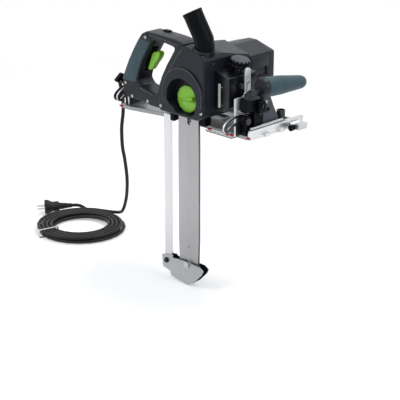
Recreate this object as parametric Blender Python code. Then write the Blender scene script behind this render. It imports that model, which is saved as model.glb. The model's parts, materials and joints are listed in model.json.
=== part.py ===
"""Carpentry chain saw: a motor head that holds a long upright guide bar, on a sole that tilts.

The frame of the saw is its datum: X runs forward along the cut, Y runs from the cover to the
motor and Z up. The cutting plane is Y = 0, the underside of the sole is Z = 0, and X = 0 is the
middle of the guide bar. The sole tilts about the line where these two planes meet. The datum is
placed so that the middle of the rear grip is the origin of the world.
All lengths are in metres.
"""
import math

import bmesh
import bpy
from mathutils import Matrix, Vector

for old in list(bpy.data.objects):
    bpy.data.objects.remove(old, do_unlink=True)

# Clearances that every piece shares
GAP = 0.0003
RUN_GAP = 0.0005
OVERRUN = 0.004
STRAIGHT_ENOUGH = math.radians(7.0)

# Guide bar, rail and shoe
BAR_THICKNESS = 0.005
BAR_TAIL = 0.050
BAR_REACH = 0.334
BAR_SLOT_WIDTH = 0.010
BAR_SLOT_END = 0.003
BAR_SLOT_OFFSET = 0.002
BAR_HOLE_RADIUS = 0.0025
BAR_HOLE_INSET = 0.075
RAIL_WIDTH = 0.0203
RAIL_CENTRE = 0.0606
RAIL_TOP = 0.012
RAIL_INSET = 0.020
RAIL_BRACKET_THICKNESS = 0.0062
BRACKET_DROP = 0.002
DEFLECTOR_REAR = 0.046
DEFLECTOR_HALF = 0.008
DEFLECTOR_BOTTOM = 0.004
CATCHER_FRONT = 0.052
CATCHER_BOTTOM = 0.011
SHOE_HEIGHT = 0.050
SHOE_PAST_BAR = 0.008
SHOE_THICKNESS = 0.003
SHOE_STEP = 0.0032
NOSE_BOLT_INSET = 0.004
NOSE_BOLT_RADIUS = 0.004

# Head: sprocket cover, gear housing and motor
COVER_REAR = 0.054
COVER_FRONT = 0.073
COVER_BOTTOM = 0.028
COVER_TOP = 0.171
COVER_SEAM = 0.014
COVER_DEPTH = 0.019
COVER_WALL = 0.003
COVER_EDGE = 0.003
ROUND_SHARE = 0.293
ROOF_END_SHARE = 0.905
ROOF_CORNER_SHARE = 0.045
ARCH_X = 0.016
ARCH_Z = 0.072
ARCH_RADIUS = 0.0555
ARCH_RISE = 0.003
RECESS_RADIUS = 0.041
RECESS_FLAT_SHARE = 0.45
RECESS_HEEL = 0.0066
RECESS_TOE = 0.0039
CUP_DEPTH_BEHIND_SEAM = 0.0035
CUP_FLOOR = 0.003
HOUSING_BACK = 0.0918
BACK_FALL_START = 0.016
BACK_FALL = 0.014
CHAMBER_BACK = 0.008
CHAMBER_HALF_OPENING = 0.035
CHAMBER_FRONT_OPENING = 0.042
CLAMP_REAR = 0.010
CLAMP_FRONT = 0.028
CLAMP_TOP = 0.066
CLAMP_BOTTOM = 0.034
KNOB_X = 0.0136
KNOB_Z = 0.0613
KNOB_RADIUS = 0.0272
KNOB_THICKNESS = 0.007
KNOB_WING_RISE = 0.009
KNOB_WING_THICKNESS = 0.006
KNOB_FLUTE = 0.001
KNOB_FLUTE_COUNT = 12
KNOB_EDGE = 0.001
KNOB_WING_SHARE = 0.86
KNOB_WING_TURN_DEG = 14.0
STUD_RADIUS = 0.004
STUD_DEPTH = 0.018

# Drive
MODULE = 0.0012
ADDENDUM_SHARE = 1.0
DEDENDUM_SHARE = 1.35
TIP_WIDTH_SHARE = 0.30
ROOT_WIDTH_SHARE = 0.80
PINION_TEETH_COUNT = 9
GEAR_TEETH_COUNT = 27
SPROCKET_TEETH_COUNT = 7
CHAIN_PITCH = 0.00932
DRIVE_Z = 0.092
SPROCKET_THICKNESS = 0.007
SHAFT_RADIUS = 0.005
SMALL_SHAFT_RADIUS = 0.0035
PINION_SHAFT_RADIUS = 0.0026
SHAFT_NOSE = 0.008
RACE_GROOVE = 0.0006
END_CAP_BEARING_Y = 0.002
BEARING_RADIUS = 0.011
BEARING_WIDTH = 0.007
FRONT_BEARING_Y = 0.012
GEAR_Y = 0.034
GEAR_WIDTH = 0.009
GEARBOX_RADIUS = 0.0275
GEARBOX_SHIFT_SHARE = 0.4
GEARBOX_FRONT = 0.028
PLATE_Y = 0.047
PLATE_WIDTH = 0.010
MOTOR_ANGLE_DEG = 33.7
FAN_RADIUS = 0.034
FAN_Y = 0.066
FAN_WIDTH = 0.009
FAN_BLADE_COUNT = 9
FAN_BLADE_THICKNESS = 0.002
STATOR_RADIUS = 0.039
STATOR_BORE = 0.0255
STATOR_Y = 0.0935
STATOR_LENGTH = 0.044
ARMATURE_RADIUS = 0.0245
ARMATURE_Y = 0.0925
ARMATURE_LENGTH = 0.046
COMMUTATOR_RADIUS = 0.012
COMMUTATOR_LENGTH = 0.008
MOTOR_HALF_WIDTH = 0.057
MOTOR_CHAMFER = 0.012
MOTOR_BAND_DEPTH = 0.0025
MOTOR_BAND_HEIGHT = 0.022
MOTOR_BAND_MARGIN = 0.007
VENT_BOTTOM = 0.062
VENT_TOP = 0.087
END_VENT_HALF = 0.020
MOTOR_LENGTH = 0.056
END_CAP_LENGTH = 0.0165
END_CAP_TAPER = 0.004
VENT_WIDTH = 0.0024
VENT_PITCH = 0.0062
VENT_DEPTH = 0.0022
VENT_COUNT = 7
END_VENT_COUNT = 6

# Extraction spout
SPOUT_X = 0.050
SPOUT_Y = 0.010
SPOUT_RADIUS = 0.019
SPOUT_WALL = 0.0022
SPOUT_LENGTH = 0.056
SPOUT_NECK = 0.010
SPOUT_SINK = 0.008
SPOUT_LEAN_X = -0.41
SPOUT_LEAN_Y = -0.16
SPOUT_LEAN_Z = 0.90
SPOUT_BEND_LENGTH = 0.014
COLLAR_WALL = 0.0028
COLLAR_RISE = 0.006
COLLAR_DEPTH = 0.014
ROOF_SLOPE_DEG = 14.0

# Oil tank
TANK_FRONT = 0.111
TANK_NEAR = 0.004
TANK_FAR = 0.072
TANK_TOP = 0.127
TANK_WALL = 0.003
TANK_FALL = 0.009
TANK_EDGE = 0.0015
NECK_FALL_SHARE = 0.43
CAP_X = 0.092
CAP_Y = 0.042
CAP_RADIUS = 0.0205
CAP_HEIGHT = 0.017
CAP_LEAN_DEG = 12.0
CAP_FLUTE_COUNT = 14
CAP_FLUTE_DEPTH = 0.0014
CAP_PLUG_LENGTH = 0.006
NECK_RADIUS = 0.013
NECK_BORE = 0.0105
NECK_HEIGHT = 0.009
WINDOW_X = 0.086
WINDOW_WIDTH = 0.0065
WINDOW_TOP = 0.104
WINDOW_BOTTOM = 0.056
BOSS_RADIUS = 0.006
BOSS_Y = 0.0335
BOSS_HEIGHTS = (0.084, 0.108)

# Rear handle
HANDLE_NEAR = 0.026
HANDLE_FAR = 0.016
HANDLE_SPLIT = 0.005
HANDLE_REAR = 0.167
HANDLE_TOP = 0.178
HANDLE_EDGE = 0.004
PAD_THICKNESS = 0.003
PAD_PROUD = 0.0006
TRIGGER_WIDTH = 0.015
TRIGGER_PIVOT_X = 0.0965
TRIGGER_PIVOT_Z = 0.1365
TRIGGER_PIN_RADIUS = 0.002
TRIGGER_PIN_SEAT = 0.005
TRIGGER_ROOM_REAR = 0.118
TRIGGER_ROOM_FRONT = 0.080
TRIGGER_ROOM_BOTTOM = 0.092
TRIGGER_ROOM_TOP = 0.146
SWITCH_LENGTH = 0.016
SWITCH_HEIGHT = 0.012
SWITCH_WIDTH = 0.012
SWITCH_Z = 0.112
BUTTON_Y = 0.001
BUTTON_X = 0.066
BUTTON_LENGTH = 0.016
BUTTON_WIDTH = 0.009
BUTTON_RISE = 0.0028
BUTTON_SINK = 0.006
BUTTON_TRAVEL = 0.002

# Tilting base
SOLE_THICKNESS = 0.008
SOLE_FRONT = 0.146
SOLE_REAR = 0.192
SOLE_NEAR = 0.012
SOLE_FAR = 0.165
SOLE_HEEL = 0.012
SOLE_HEEL_LENGTH = 0.028
SOLE_WAIST = 0.082
SOLE_RIM = 0.007
SOLE_RIB = 0.0035
SOLE_FLOOR = 0.0035
POCKET_COLUMN_COUNT = 6
POCKET_ROW_COUNT = 3
PIVOT_PLATE = 0.004
SEGMENT_PLATE = 0.004
SEGMENT_RIM = 0.010
SEGMENT_FOOT_NEAR = 0.004
SEGMENT_FOOT_FAR = 0.046
SLOT_RADIUS = 0.040
SLOT_HALF_WIDTH = 0.0043
PIVOT_STUD_RADIUS = 0.0038
STUD_REST_DEG = 72.0
SLOT_START_DEG = 62.0
SLOT_END_DEG = 132.0
SEGMENT_START_DEG = 20.0
SEGMENT_INNER_DEG = 100.0
BEVEL_MIN_DEG = -10.0
FRONT_PLATE_X = 0.1217
FRONT_PLATE_SIZE = 0.124
REAR_BRACKET_THICKNESS = 0.0075
FRONT_BRACKET_THICKNESS = 0.0154
BRACKET_TOP = 0.081
BRACKET_ARCH = 0.054
BRACKET_NEAR = 0.008
BRACKET_LEG = 0.030
BRACKET_FAR = 0.056
BRACKET_SPACING = 0.0015
BUTTRESS_FAR = 0.106
BUTTRESS_HOLE_RADIUS = 0.0045
BUTTRESS_BOSS_Y = 0.071
BUTTRESS_BOSS_Z = 0.050
LEVER_HUB_RADIUS = 0.010
LEVER_THICKNESS = 0.0135
LEVER_CLEARANCE = 0.001
LEVER_ARM_WIDTH = 0.011
LEVER_JOIN_SHARE = 0.7
WING_ARM = 0.036
WING_SPAN = 0.022
WING_STEM_WIDTH = 0.007
WING_THICKNESS = 0.010
NUT_RADIUS = 0.0065
NUT_HEIGHT = 0.004
BEAM_THICKNESS = 0.0065
BEAM_HEIGHT = 0.020
ROD_RADIUS = 0.003
ROD_LENGTH = 0.092
SLEEVE_RADIUS = 0.0085
SLEEVE_BORE = 0.0062
SLEEVE_TOP = 0.038
SLEEVE_Y = 0.1165
SLEEVE_X = 0.1365
GRIP_X = 0.163
GRIP_Y = 0.036
GRIP_Z = 0.104
GRIP_END_X = 0.170
GRIP_END_Z = 0.096
GRIP_LENGTH = 0.110
GRIP_RADIUS = 0.0185
COLLAR_LENGTH = 0.010
COLLAR_RADIUS = 0.0192
ARM_HALF_X = 0.0115
ARM_HALF_Y = 0.0155
ARM_CORNER_SHARE = 0.7
COLLAR_FOOT_SHARE = 0.85
GUARD_REAR = 0.046
GUARD_FRONT = 0.118
GUARD_NEAR = 0.0035
GUARD_THICKNESS = 0.003
JAW_Y = 0.137
JAW_HALF_WIDTH = 0.013
JAW_LENGTH = 0.024
JAW_BOTTOM = 0.002
JAW_TOP = 0.014
JAW_LIP = 0.006
JAW_TRAVEL = 0.003
JAW_KNOB_RADIUS = 0.006
JAW_KNOB_LENGTH = 0.008
JAW_SPINDLE_RADIUS = 0.0022

# Cord
CORD_RADIUS = 0.0039
GLAND_Y = 0.005
GLAND_Z = 0.060
GLAND_RADIUS = 0.0068
GLAND_LENGTH = 0.036
GLAND_END_SHARE = 1.4
ROUTE_SIZE = 0.342
ROUTE_POINT_COUNT = 44
ROUTE_STEP_COUNT = 12
COIL_WHOLE_TURNS_COUNT = 8
COIL_TAIL_STEP_COUNT = 6
COIL_DIP_SHARE = 0.25
TIE_CLEARANCE = 0.0012
PLUG_ACROSS = -0.038
PLUG_DEEP = 0.106
PLUG_TURN_DEG = 14.0
PLUG_SHOULDER_SHARE = 0.75
COIL_X = -0.387
COIL_Y = 0.031
COIL_OUTER = 0.1004
COIL_PITCH = 0.0094
COIL_LAYER_PITCH = 0.0084
COIL_DEPTH_SHARE = 0.92
COIL_START_DEG = 64.0
COIL_END_DEG = 80.0
COIL_HEADING_DEG = 41.54
COIL_POINTS_PER_TURN_COUNT = 24
TIE_THICKNESS = 0.0012
TIE_WIDTH = 0.006
TIE_DEG = 216.0
PLUG_RADIUS = 0.017
PLUG_LENGTH = 0.034
PLUG_SLEEVE = 0.030
PIN_RADIUS = 0.0024
PIN_LENGTH = 0.019
PIN_SPACING = 0.019

# Outlines as shares of one length each; Z is the second number, or Z of (Y, Z) for plates along X
HANDLE_SHARES = [(0.0815, 0.9665), (-0.1124, 0.9888), (-0.3371, 1), (-0.5337, 1), (-0.5955, 0.9719),
                 (-0.6573, 0.8989), (-0.7472, 0.764), (-0.8258, 0.6292),
                 (-0.8933, 0.4944), (-0.9382, 0.3989), (-0.9382, 0.2022), (-0.8876, 0.1798),
                 (-0.5955, 0.1798), (-0.4719, 0.1573), (-0.2247, 0.1573), (-0.1124, 0.5056)]
HANDLE_HOLE_SHARES = [(-0.2472, 0.9157), (-0.073, 0.8933), (-0.1348, 0.7978), (-0.2135, 0.6798),
                      (-0.2865, 0.5506), (-0.3371, 0.4326), (-0.3596, 0.3371), (-0.4045, 0.309),
                      (-0.6292, 0.3596), (-0.6854, 0.4213), (-0.6404, 0.5449), (-0.5787, 0.6798),
                      (-0.4944, 0.809), (-0.4326, 0.8989), (-0.3933, 0.9213)]
PAD_REGION_SHARES = [(-0.7146, 0.3876), (-0.7079, 0.4101), (-0.6685, 0.5393), (-0.6067, 0.6742),
                     (-0.5169, 0.809), (-0.4494, 0.9157), (-0.5056, 0.9663), (-1.0674, 0.9663),
                     (-1.0674, 0.3876)]
TRIGGER_SHARES = [(-0.5618, 0.7978), (-0.4719, 0.7921), (-0.3708, 0.7753), (-0.3427, 0.7416),
                  (-0.4494, 0.5843), (-0.5281, 0.5393), (-0.6067, 0.5506), (-0.618, 0.5843)]
BAR_SIDE_SHARES = [(0.0823, 0.1497), (0.0868, -0.1198), (0.0883, -0.4192), (0.0868, -0.7186),
                   (0.0793, -0.8982), (0.0599, -0.9581), (0.0299, -0.991), (0, -1)]
SHOE_SHARES = [(-0.96, 1.02), (-0.84, 0.94), (-0.2, 1.02), (0.72, 1), (0.94, 0.88), (0.84, 0.68),
               (0.46, 0.28), (0.08, 0.006), (-0.38, 0.08), (-0.9, 0.14), (-0.96, 0.24)]
SHOE_TAB_SHARES = [(-1.54, 0.9), (-0.96, 1.04), (-0.9, 1), (-0.9, 0.16), (-0.94, 0.26), (-1.48, 0.38)]
SHOE_WALL_SHARES = [(-0.96, 1.01), (-0.9, 0.98), (-0.9, 0.18), (-0.96, 0.26)]
BUTTRESS_SHARES = [(0.5311, 0.0783), (1, 0.0783), (0.9434, 0.283), (0.8113, 0.5283),
                   (0.717, 0.7358), (0.5377, 0.7453)]
FRONT_PLATE_SHARES = [(-0.0081, 0.2258), (0.1935, 0.2258), (0.2903, 0.4194), (0.3226, 0.6452),
                      (0.3226, 1.0887), (0.2177, 1.0887), (0.2177, 0.6452), (0.0645, 0.629),
                      (-0.0081, 0.4839)]
REAR_PLATE_SHARES = [(-0.32, 0.96), (-0.36, 0.84), (-0.08, 0.52), (0.48, 0.52), (0.48, 0.88), (0.36, 1)]
MOTOR_SHARES = [(-0.7895, -0.8246), (0.7895, -0.8246), (1, -0.614), (1, 0.5965), (0.1579, 0.8421),
                (-0.1579, 0.8421), (-1, 0.5965), (-1, -0.614)]
TANK_SHARES = [(0.6604, 0.4505), (0.9099, 0.4505), (1, 0.5405), (1, 1.0631), (0.6604, 1.1441)]
SPROCKET_TOOTH_SHARES = [(0.0, 1.08), (0.12, 1.08), (0.3, 0.84), (0.7, 0.84), (0.88, 1.08)]
WING_SHARES = [(-0.5, -0.3), (0.5, -0.5), (0.5, 0.5), (-0.5, 0.9)]
ARM_SHARES = [(0.8896, 0.14, 0.5, 0.0, 1.0), (0.9018, 0.125, 0.555, 0.0, 0.95),
              (0.9509, 0.12, 0.6, 0.0, 0.88), (0.985, 0.115, 0.628, 0.0, 0.8)]
GRIP_SHARES = [(0.92, 0.0), (1.0, 0.04), (1.0, 0.16), (0.973, 0.32), (0.838, 0.58), (0.73, 0.82),
               (0.6, 0.93), (0.32, 0.99)]
ROUTE_SHARES = [(-0.6515, 0.0437, 0.1345), (-0.6713, 0.0836, 0.0135), (-0.6801, 0.0915, -0.0839),
                (-0.6974, 0.0918, -0.1912), (-0.7178, 0.1129, -0.3231), (-0.7307, 0.1406, -0.4146),
                (-0.7635, 0.1857, -0.5623), (-0.8079, 0.2205, -0.6863), (-0.8746, 0.2645, -0.7831),
                (-0.9649, 0.3231, -0.8728), (-1.0660, 0.3830, -0.9390)]

# The datum stands so that the middle of the rear grip is the world's origin
GRIP_CENTRE = Vector((-0.118, -0.005, 0.118))

COVER_FACE = COVER_SEAM + COVER_DEPTH
MOTOR_X = MODULE * (PINION_TEETH_COUNT + GEAR_TEETH_COUNT) / 2 * math.cos(math.radians(MOTOR_ANGLE_DEG))
MOTOR_Z = DRIVE_Z + MODULE * (PINION_TEETH_COUNT + GEAR_TEETH_COUNT) / 2 * math.sin(
    math.radians(MOTOR_ANGLE_DEG))
MOTOR_FRONT = HOUSING_BACK + GAP
MOTOR_BACK = MOTOR_FRONT + MOTOR_LENGTH
SHOE_BOTTOM = BAR_REACH + SHOE_PAST_BAR
FLOOR = -SHOE_BOTTOM
SEGMENT_RADIUS = SLOT_RADIUS + SEGMENT_RIM
GEARBOX_CENTRE = Vector((MOTOR_X * GEARBOX_SHIFT_SHARE, 0,
                         DRIVE_Z + (MOTOR_Z - DRIVE_Z) * GEARBOX_SHIFT_SHARE))
KNOB_BASE = CUP_DEPTH_BEHIND_SEAM - COVER_SEAM - CUP_FLOOR - GAP

datum = bpy.data.objects.new("saw_datum", None)
datum.location = -GRIP_CENTRE
bpy.context.scene.collection.objects.link(datum)


def material(name, colour, roughness, metallic=0.0):
    """A Principled material with the colour, roughness and metallic value of one finish."""
    made = bpy.data.materials.new(name)
    made.use_nodes = True
    shader = made.node_tree.nodes["Principled BSDF"]
    shader.inputs["Base Color"].default_value = (*colour, 1.0)
    shader.inputs["Roughness"].default_value = roughness
    shader.inputs["Metallic"].default_value = metallic
    return made


ANTHRACITE = material("anthracite_plastic", (0.035, 0.040, 0.052), 0.42)
BLACK = material("black_plastic", (0.012, 0.013, 0.016), 0.38)
GREEN = material("green_plastic", (0.24, 0.56, 0.05), 0.35)
SOFT_GRIP = material("soft_grip", (0.085, 0.155, 0.185), 0.62)
GREY = material("grey_plastic", (0.08, 0.085, 0.10), 0.45)
STEEL = material("steel", (0.62, 0.63, 0.65), 0.30, 1.0)
ALUMINIUM = material("aluminium", (0.72, 0.73, 0.75), 0.38, 1.0)
SOLE_METAL = material("sole_casting", (0.30, 0.31, 0.33), 0.50, 1.0)
COPPER = material("copper_winding", (0.60, 0.28, 0.14), 0.40, 1.0)
CLEAR = material("clear_window", (0.62, 0.64, 0.62), 0.20)
RUBBER = material("cord_rubber", (0.010, 0.010, 0.011), 0.55)


def finish(name, bm, look, origin=(0, 0, 0), sharp_deg=32.0):
    """Turns a bmesh drawn in datum coordinates into a named object whose origin is at origin."""
    bmesh.ops.recalc_face_normals(bm, faces=bm.faces)
    bmesh.ops.translate(bm, vec=-Vector(origin), verts=bm.verts)
    mesh = bpy.data.meshes.new(name)
    bm.to_mesh(mesh)
    bm.free()
    mesh.shade_smooth()
    mesh.set_sharp_from_angle(angle=math.radians(sharp_deg))
    mesh.materials.append(look)
    made = bpy.data.objects.new(name, mesh)
    made.location = origin
    made.parent = datum
    bpy.context.scene.collection.objects.link(made)
    return made


def helper(name, bm):
    """A hidden shape that a Boolean modifier uses."""
    made = finish(name, bm, BLACK)
    made.hide_render = True
    made.display_type = "WIRE"
    return made


def boolean(target, tool, operation="DIFFERENCE"):
    """Adds an exact Boolean of the tool to the target."""
    step = target.modifiers.new(tool.name, "BOOLEAN")
    step.object = tool
    step.operation = operation
    step.solver = "EXACT"


def soften(target, width, segment_count=2, angle_deg=40.0):
    """Rounds the sharp edges of the target."""
    step = target.modifiers.new("edges", "BEVEL")
    step.width = width
    step.segments = segment_count
    step.limit_method = "ANGLE"
    step.angle_limit = math.radians(angle_deg)


def arc(centre, radius, start_deg, end_deg, count):
    """Points along an arc, both ends included."""
    points = []
    for index in range(count + 1):
        angle = math.radians(start_deg + (end_deg - start_deg) * index / count)
        points.append((centre[0] + radius * math.cos(angle), centre[1] + radius * math.sin(angle)))
    return points


def circle(centre, radius, count):
    """The corners of a regular polygon."""
    return arc(centre, radius, 0.0, 360.0, count)[:-1]


def rounded(points, radius, count=3):
    """The outline with each real corner replaced by a fillet, no longer than a third of its sides."""
    result = []
    total = len(points)
    for index in range(total):
        here = Vector(points[index])
        before = Vector(points[index - 1]) - here
        after = Vector(points[(index + 1) % total]) - here
        half = before.angle(after) / 2
        if math.pi / 2 - half < STRAIGHT_ENOUGH:
            result.append(tuple(here))
            continue
        reach = min(radius / math.tan(half), before.length / 3, after.length / 3)
        first = here + before.normalized() * reach
        last = here + after.normalized() * reach
        for step in range(count + 1):
            share = step / count
            result.append(tuple(first * (1 - share) ** 2 + here * 2 * share * (1 - share)
                                + last * share ** 2))
    return result


def inset(points, distance):
    """The closed outline moved inward by a distance, whichever way round it runs."""
    total = len(points)
    area = sum(points[i - 1][0] * points[i][1] - points[i][0] * points[i - 1][1] for i in range(total))
    side = 1.0 if area > 0 else -1.0
    result = []
    for index in range(total):
        here = Vector(points[index])
        along = (here - Vector(points[index - 1])).normalized()
        onward = (Vector(points[(index + 1) % total]) - here).normalized()
        normal = Vector((-along.y, along.x)) * side
        next_normal = Vector((-onward.y, onward.x)) * side
        middle = (normal + next_normal) / 2
        result.append(tuple(here + middle / middle.length_squared * distance))
    return result


def place(axis, flat, level):
    """A point of a flat outline, lifted to a level along an axis."""
    if axis == "X":
        return Vector((level, flat[0], flat[1]))
    if axis == "Y":
        return Vector((flat[0], level, flat[1]))
    return Vector((flat[0], flat[1], level))


def join(bm, lower, upper):
    """Closes the band between two rings of corners; a ring may shrink to a single corner."""
    total = max(len(lower), len(upper))
    for index in range(total):
        corners = []
        for ring_of, step in ((lower, index - 1), (lower, index), (upper, index), (upper, index - 1)):
            corner = ring_of[step % len(ring_of)]
            if corner not in corners:
                corners.append(corner)
        bm.faces.new(corners)


def cap(bm, loops):
    """Closes the flat area inside one loop, or between a loop and its holes."""
    if len(loops) == 1:
        bm.faces.new(loops[0])
        return
    rim = [bm.edges.get((loop[i - 1], loop[i])) for loop in loops for i in range(len(loop))]
    bmesh.ops.triangle_fill(bm, use_beauty=True, use_dissolve=False, edges=rim)


def plate(bm, outline, low, high, axis="Y", holes=(), edge=0.0, side="low"):
    """Extrudes an outline with holes from low to high, and can round the rim of one side or both."""
    levels = [(low, 0.0), (high, 0.0)]
    if edge and side in ("low", "both"):
        levels[:1] = [(low, edge), (low + edge * ROUND_SHARE, edge * ROUND_SHARE), (low + edge, 0.0)]
    if edge and side in ("high", "both"):
        levels[-1:] = [(high - edge, 0.0), (high - edge * ROUND_SHARE, edge * ROUND_SHARE), (high, edge)]
    bottoms = []
    tops = []
    for number, loop in enumerate((outline, *holes)):
        rows = []
        for level, amount in levels:
            flat = inset(loop, -amount if number else amount) if amount else loop
            rows.append([bm.verts.new(place(axis, point, level)) for point in flat])
        for lower, upper in zip(rows, rows[1:]):
            join(bm, lower, upper)
        bottoms.append(rows[0])
        tops.append(rows[-1])
    cap(bm, bottoms)
    cap(bm, tops)
    return bm


def block(bm, low, high):
    """A box between two corners."""
    centre = (Vector(low) + Vector(high)) / 2
    size = Vector(high) - Vector(low)
    bmesh.ops.create_cube(bm, size=1.0, matrix=Matrix.Translation(centre) @ Matrix.Diagonal((*size, 1)))
    return bm


def turned(bm, profile, start, direction, count=20):
    """Turns a profile of (radius, distance along the axis) about an axis through start."""
    axis = Vector(direction).normalized()
    across = axis.orthogonal().normalized()
    other = axis.cross(across)
    rings = []
    for radius, along in profile:
        foot = Vector(start) + axis * along
        if not radius:
            rings.append([bm.verts.new(foot)])
            continue
        angles = [math.tau * index / count for index in range(count)]
        rings.append([bm.verts.new(foot + (across * math.cos(turn) + other * math.sin(turn)) * radius)
                      for turn in angles])
    for lower, upper in zip(rings, rings[1:]):
        join(bm, lower, upper)
    if profile[0][0]:
        join(bm, rings[-1], rings[0])
    return bm


def drum(bm, start, direction, radius, length, count=16):
    """A plain round bar from start along a direction."""
    return turned(bm, [(0, 0), (radius, 0), (radius, length), (0, length)], start, direction, count)


def ring(bm, start, direction, outer, inner, length, count=20):
    """A plain tube from start along a direction."""
    return turned(bm, [(inner, 0), (outer, 0), (outer, length), (inner, length)], start, direction, count)


def loft(bm, sections, count=16, power_share=1.0):
    """Skins closed sections, each given as (centre, first half axis, second half axis)."""
    loops = []
    for centre, first, second in sections:
        loop = []
        for index in range(count):
            angle = math.tau * (index + 0.5) / count
            across = math.copysign(abs(math.cos(angle)) ** power_share, math.cos(angle))
            up = math.copysign(abs(math.sin(angle)) ** power_share, math.sin(angle))
            loop.append(bm.verts.new(Vector(centre) + Vector(first) * across + Vector(second) * up))
        loops.append(loop)
    for lower, upper in zip(loops, loops[1:]):
        join(bm, lower, upper)
    bm.faces.new(loops[0])
    bm.faces.new(loops[-1])
    return bm


def mitred(points, radius, count):
    """Rings of corners of a round bar that turns at each middle point with a mitre."""
    heading = (points[1] - points[0]).normalized()
    across = heading.orthogonal().normalized()
    other = heading.cross(across)
    angles = [math.tau * index / count for index in range(count)]
    corners = [points[0] + (across * math.cos(turn) + other * math.sin(turn)) * radius for turn in angles]
    rings = [corners]
    for index in range(1, len(points)):
        heading = (points[index] - points[index - 1]).normalized()
        onward = heading
        if index + 1 < len(points):
            onward = (points[index + 1] - points[index]).normalized()
        facing = heading + onward
        corners = [corner + heading * ((points[index] - corner).dot(facing) / heading.dot(facing))
                   for corner in corners]
        rings.append(corners)
    return rings


def scaled(shares, size):
    """An outline written as shares of one length."""
    return [(share[0] * size, share[1] * size) for share in shares]


def lobed(centre, radius, depth, lobe_count):
    """A round outline with shallow flutes."""
    points = []
    for index in range(lobe_count * 4):
        reach = radius - depth * (index % 4 == 3)
        angle = math.tau * index / lobe_count / 4
        points.append((centre[0] + reach * math.cos(angle), centre[1] + reach * math.sin(angle)))
    return points


def toothed(centre, teeth_count, phase_deg):
    """The outline of a spur gear whose first tooth stands at the phase angle."""
    pitch_radius = MODULE * teeth_count / 2
    points = []
    for index in range(teeth_count):
        middle = math.radians(phase_deg) + math.tau * index / teeth_count
        for reach, width in ((pitch_radius - MODULE * DEDENDUM_SHARE, -MODULE * ROOT_WIDTH_SHARE),
                             (pitch_radius + MODULE * ADDENDUM_SHARE, -MODULE * TIP_WIDTH_SHARE),
                             (pitch_radius + MODULE * ADDENDUM_SHARE, MODULE * TIP_WIDTH_SHARE),
                             (pitch_radius - MODULE * DEDENDUM_SHARE, MODULE * ROOT_WIDTH_SHARE)):
            angle = middle + width / reach
            points.append((centre[0] + reach * math.cos(angle), centre[1] + reach * math.sin(angle)))
    return points


# Sprocket cover and gear housing share one outline, drawn as shares of its width and height
COVER_WIDTH = COVER_REAR + COVER_FRONT
COVER_HEIGHT = COVER_TOP - COVER_BOTTOM
COVER_SHARES = [(0.06, 0.0), (0.84, 0.0), (0.945, 0.05), (1.0, 0.22), (1.0, 0.84), (0.955, 0.905),
                (0.58, 0.995), (0.53, 0.965), (0.395, 0.84), (0.26, 0.67), (0.15, 0.49), (0.06, 0.30),
                (0.0, 0.14), (0.0, 0.035)]
COVER_OUTLINE = rounded([(across * COVER_WIDTH - COVER_REAR, up * COVER_HEIGHT + COVER_BOTTOM)
                         for across, up in COVER_SHARES], COVER_EDGE * 2, 2)
ROOF_NORMAL = Vector((math.sin(math.radians(ROOF_SLOPE_DEG)), 0, math.cos(math.radians(ROOF_SLOPE_DEG))))
SPOUT_FOOT = Vector((SPOUT_X, -SPOUT_Y, COVER_BOTTOM + COVER_HEIGHT * ROOF_END_SHARE
                     + (COVER_FRONT - COVER_WIDTH * ROOF_CORNER_SHARE - SPOUT_X)
                     * math.tan(math.radians(ROOF_SLOPE_DEG))))
COLLAR_RADIUS_OUTER = SPOUT_RADIUS + RUN_GAP + COLLAR_WALL
RECESS_OUTLINE = (arc((KNOB_X, KNOB_Z + COVER_WALL), RECESS_RADIUS, -38.0, 190.0, 20)
                  + [(KNOB_X - RECESS_RADIUS * RECESS_FLAT_SHARE, COVER_BOTTOM + RECESS_HEEL),
                     (KNOB_X + RECESS_RADIUS * RECESS_FLAT_SHARE, COVER_BOTTOM + RECESS_TOE)])


CLAMP_OUTLINE = [(-CLAMP_REAR, CLAMP_BOTTOM), (CLAMP_FRONT, CLAMP_BOTTOM), (CLAMP_FRONT, CLAMP_TOP),
                 (-CLAMP_REAR, CLAMP_TOP)]


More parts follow.
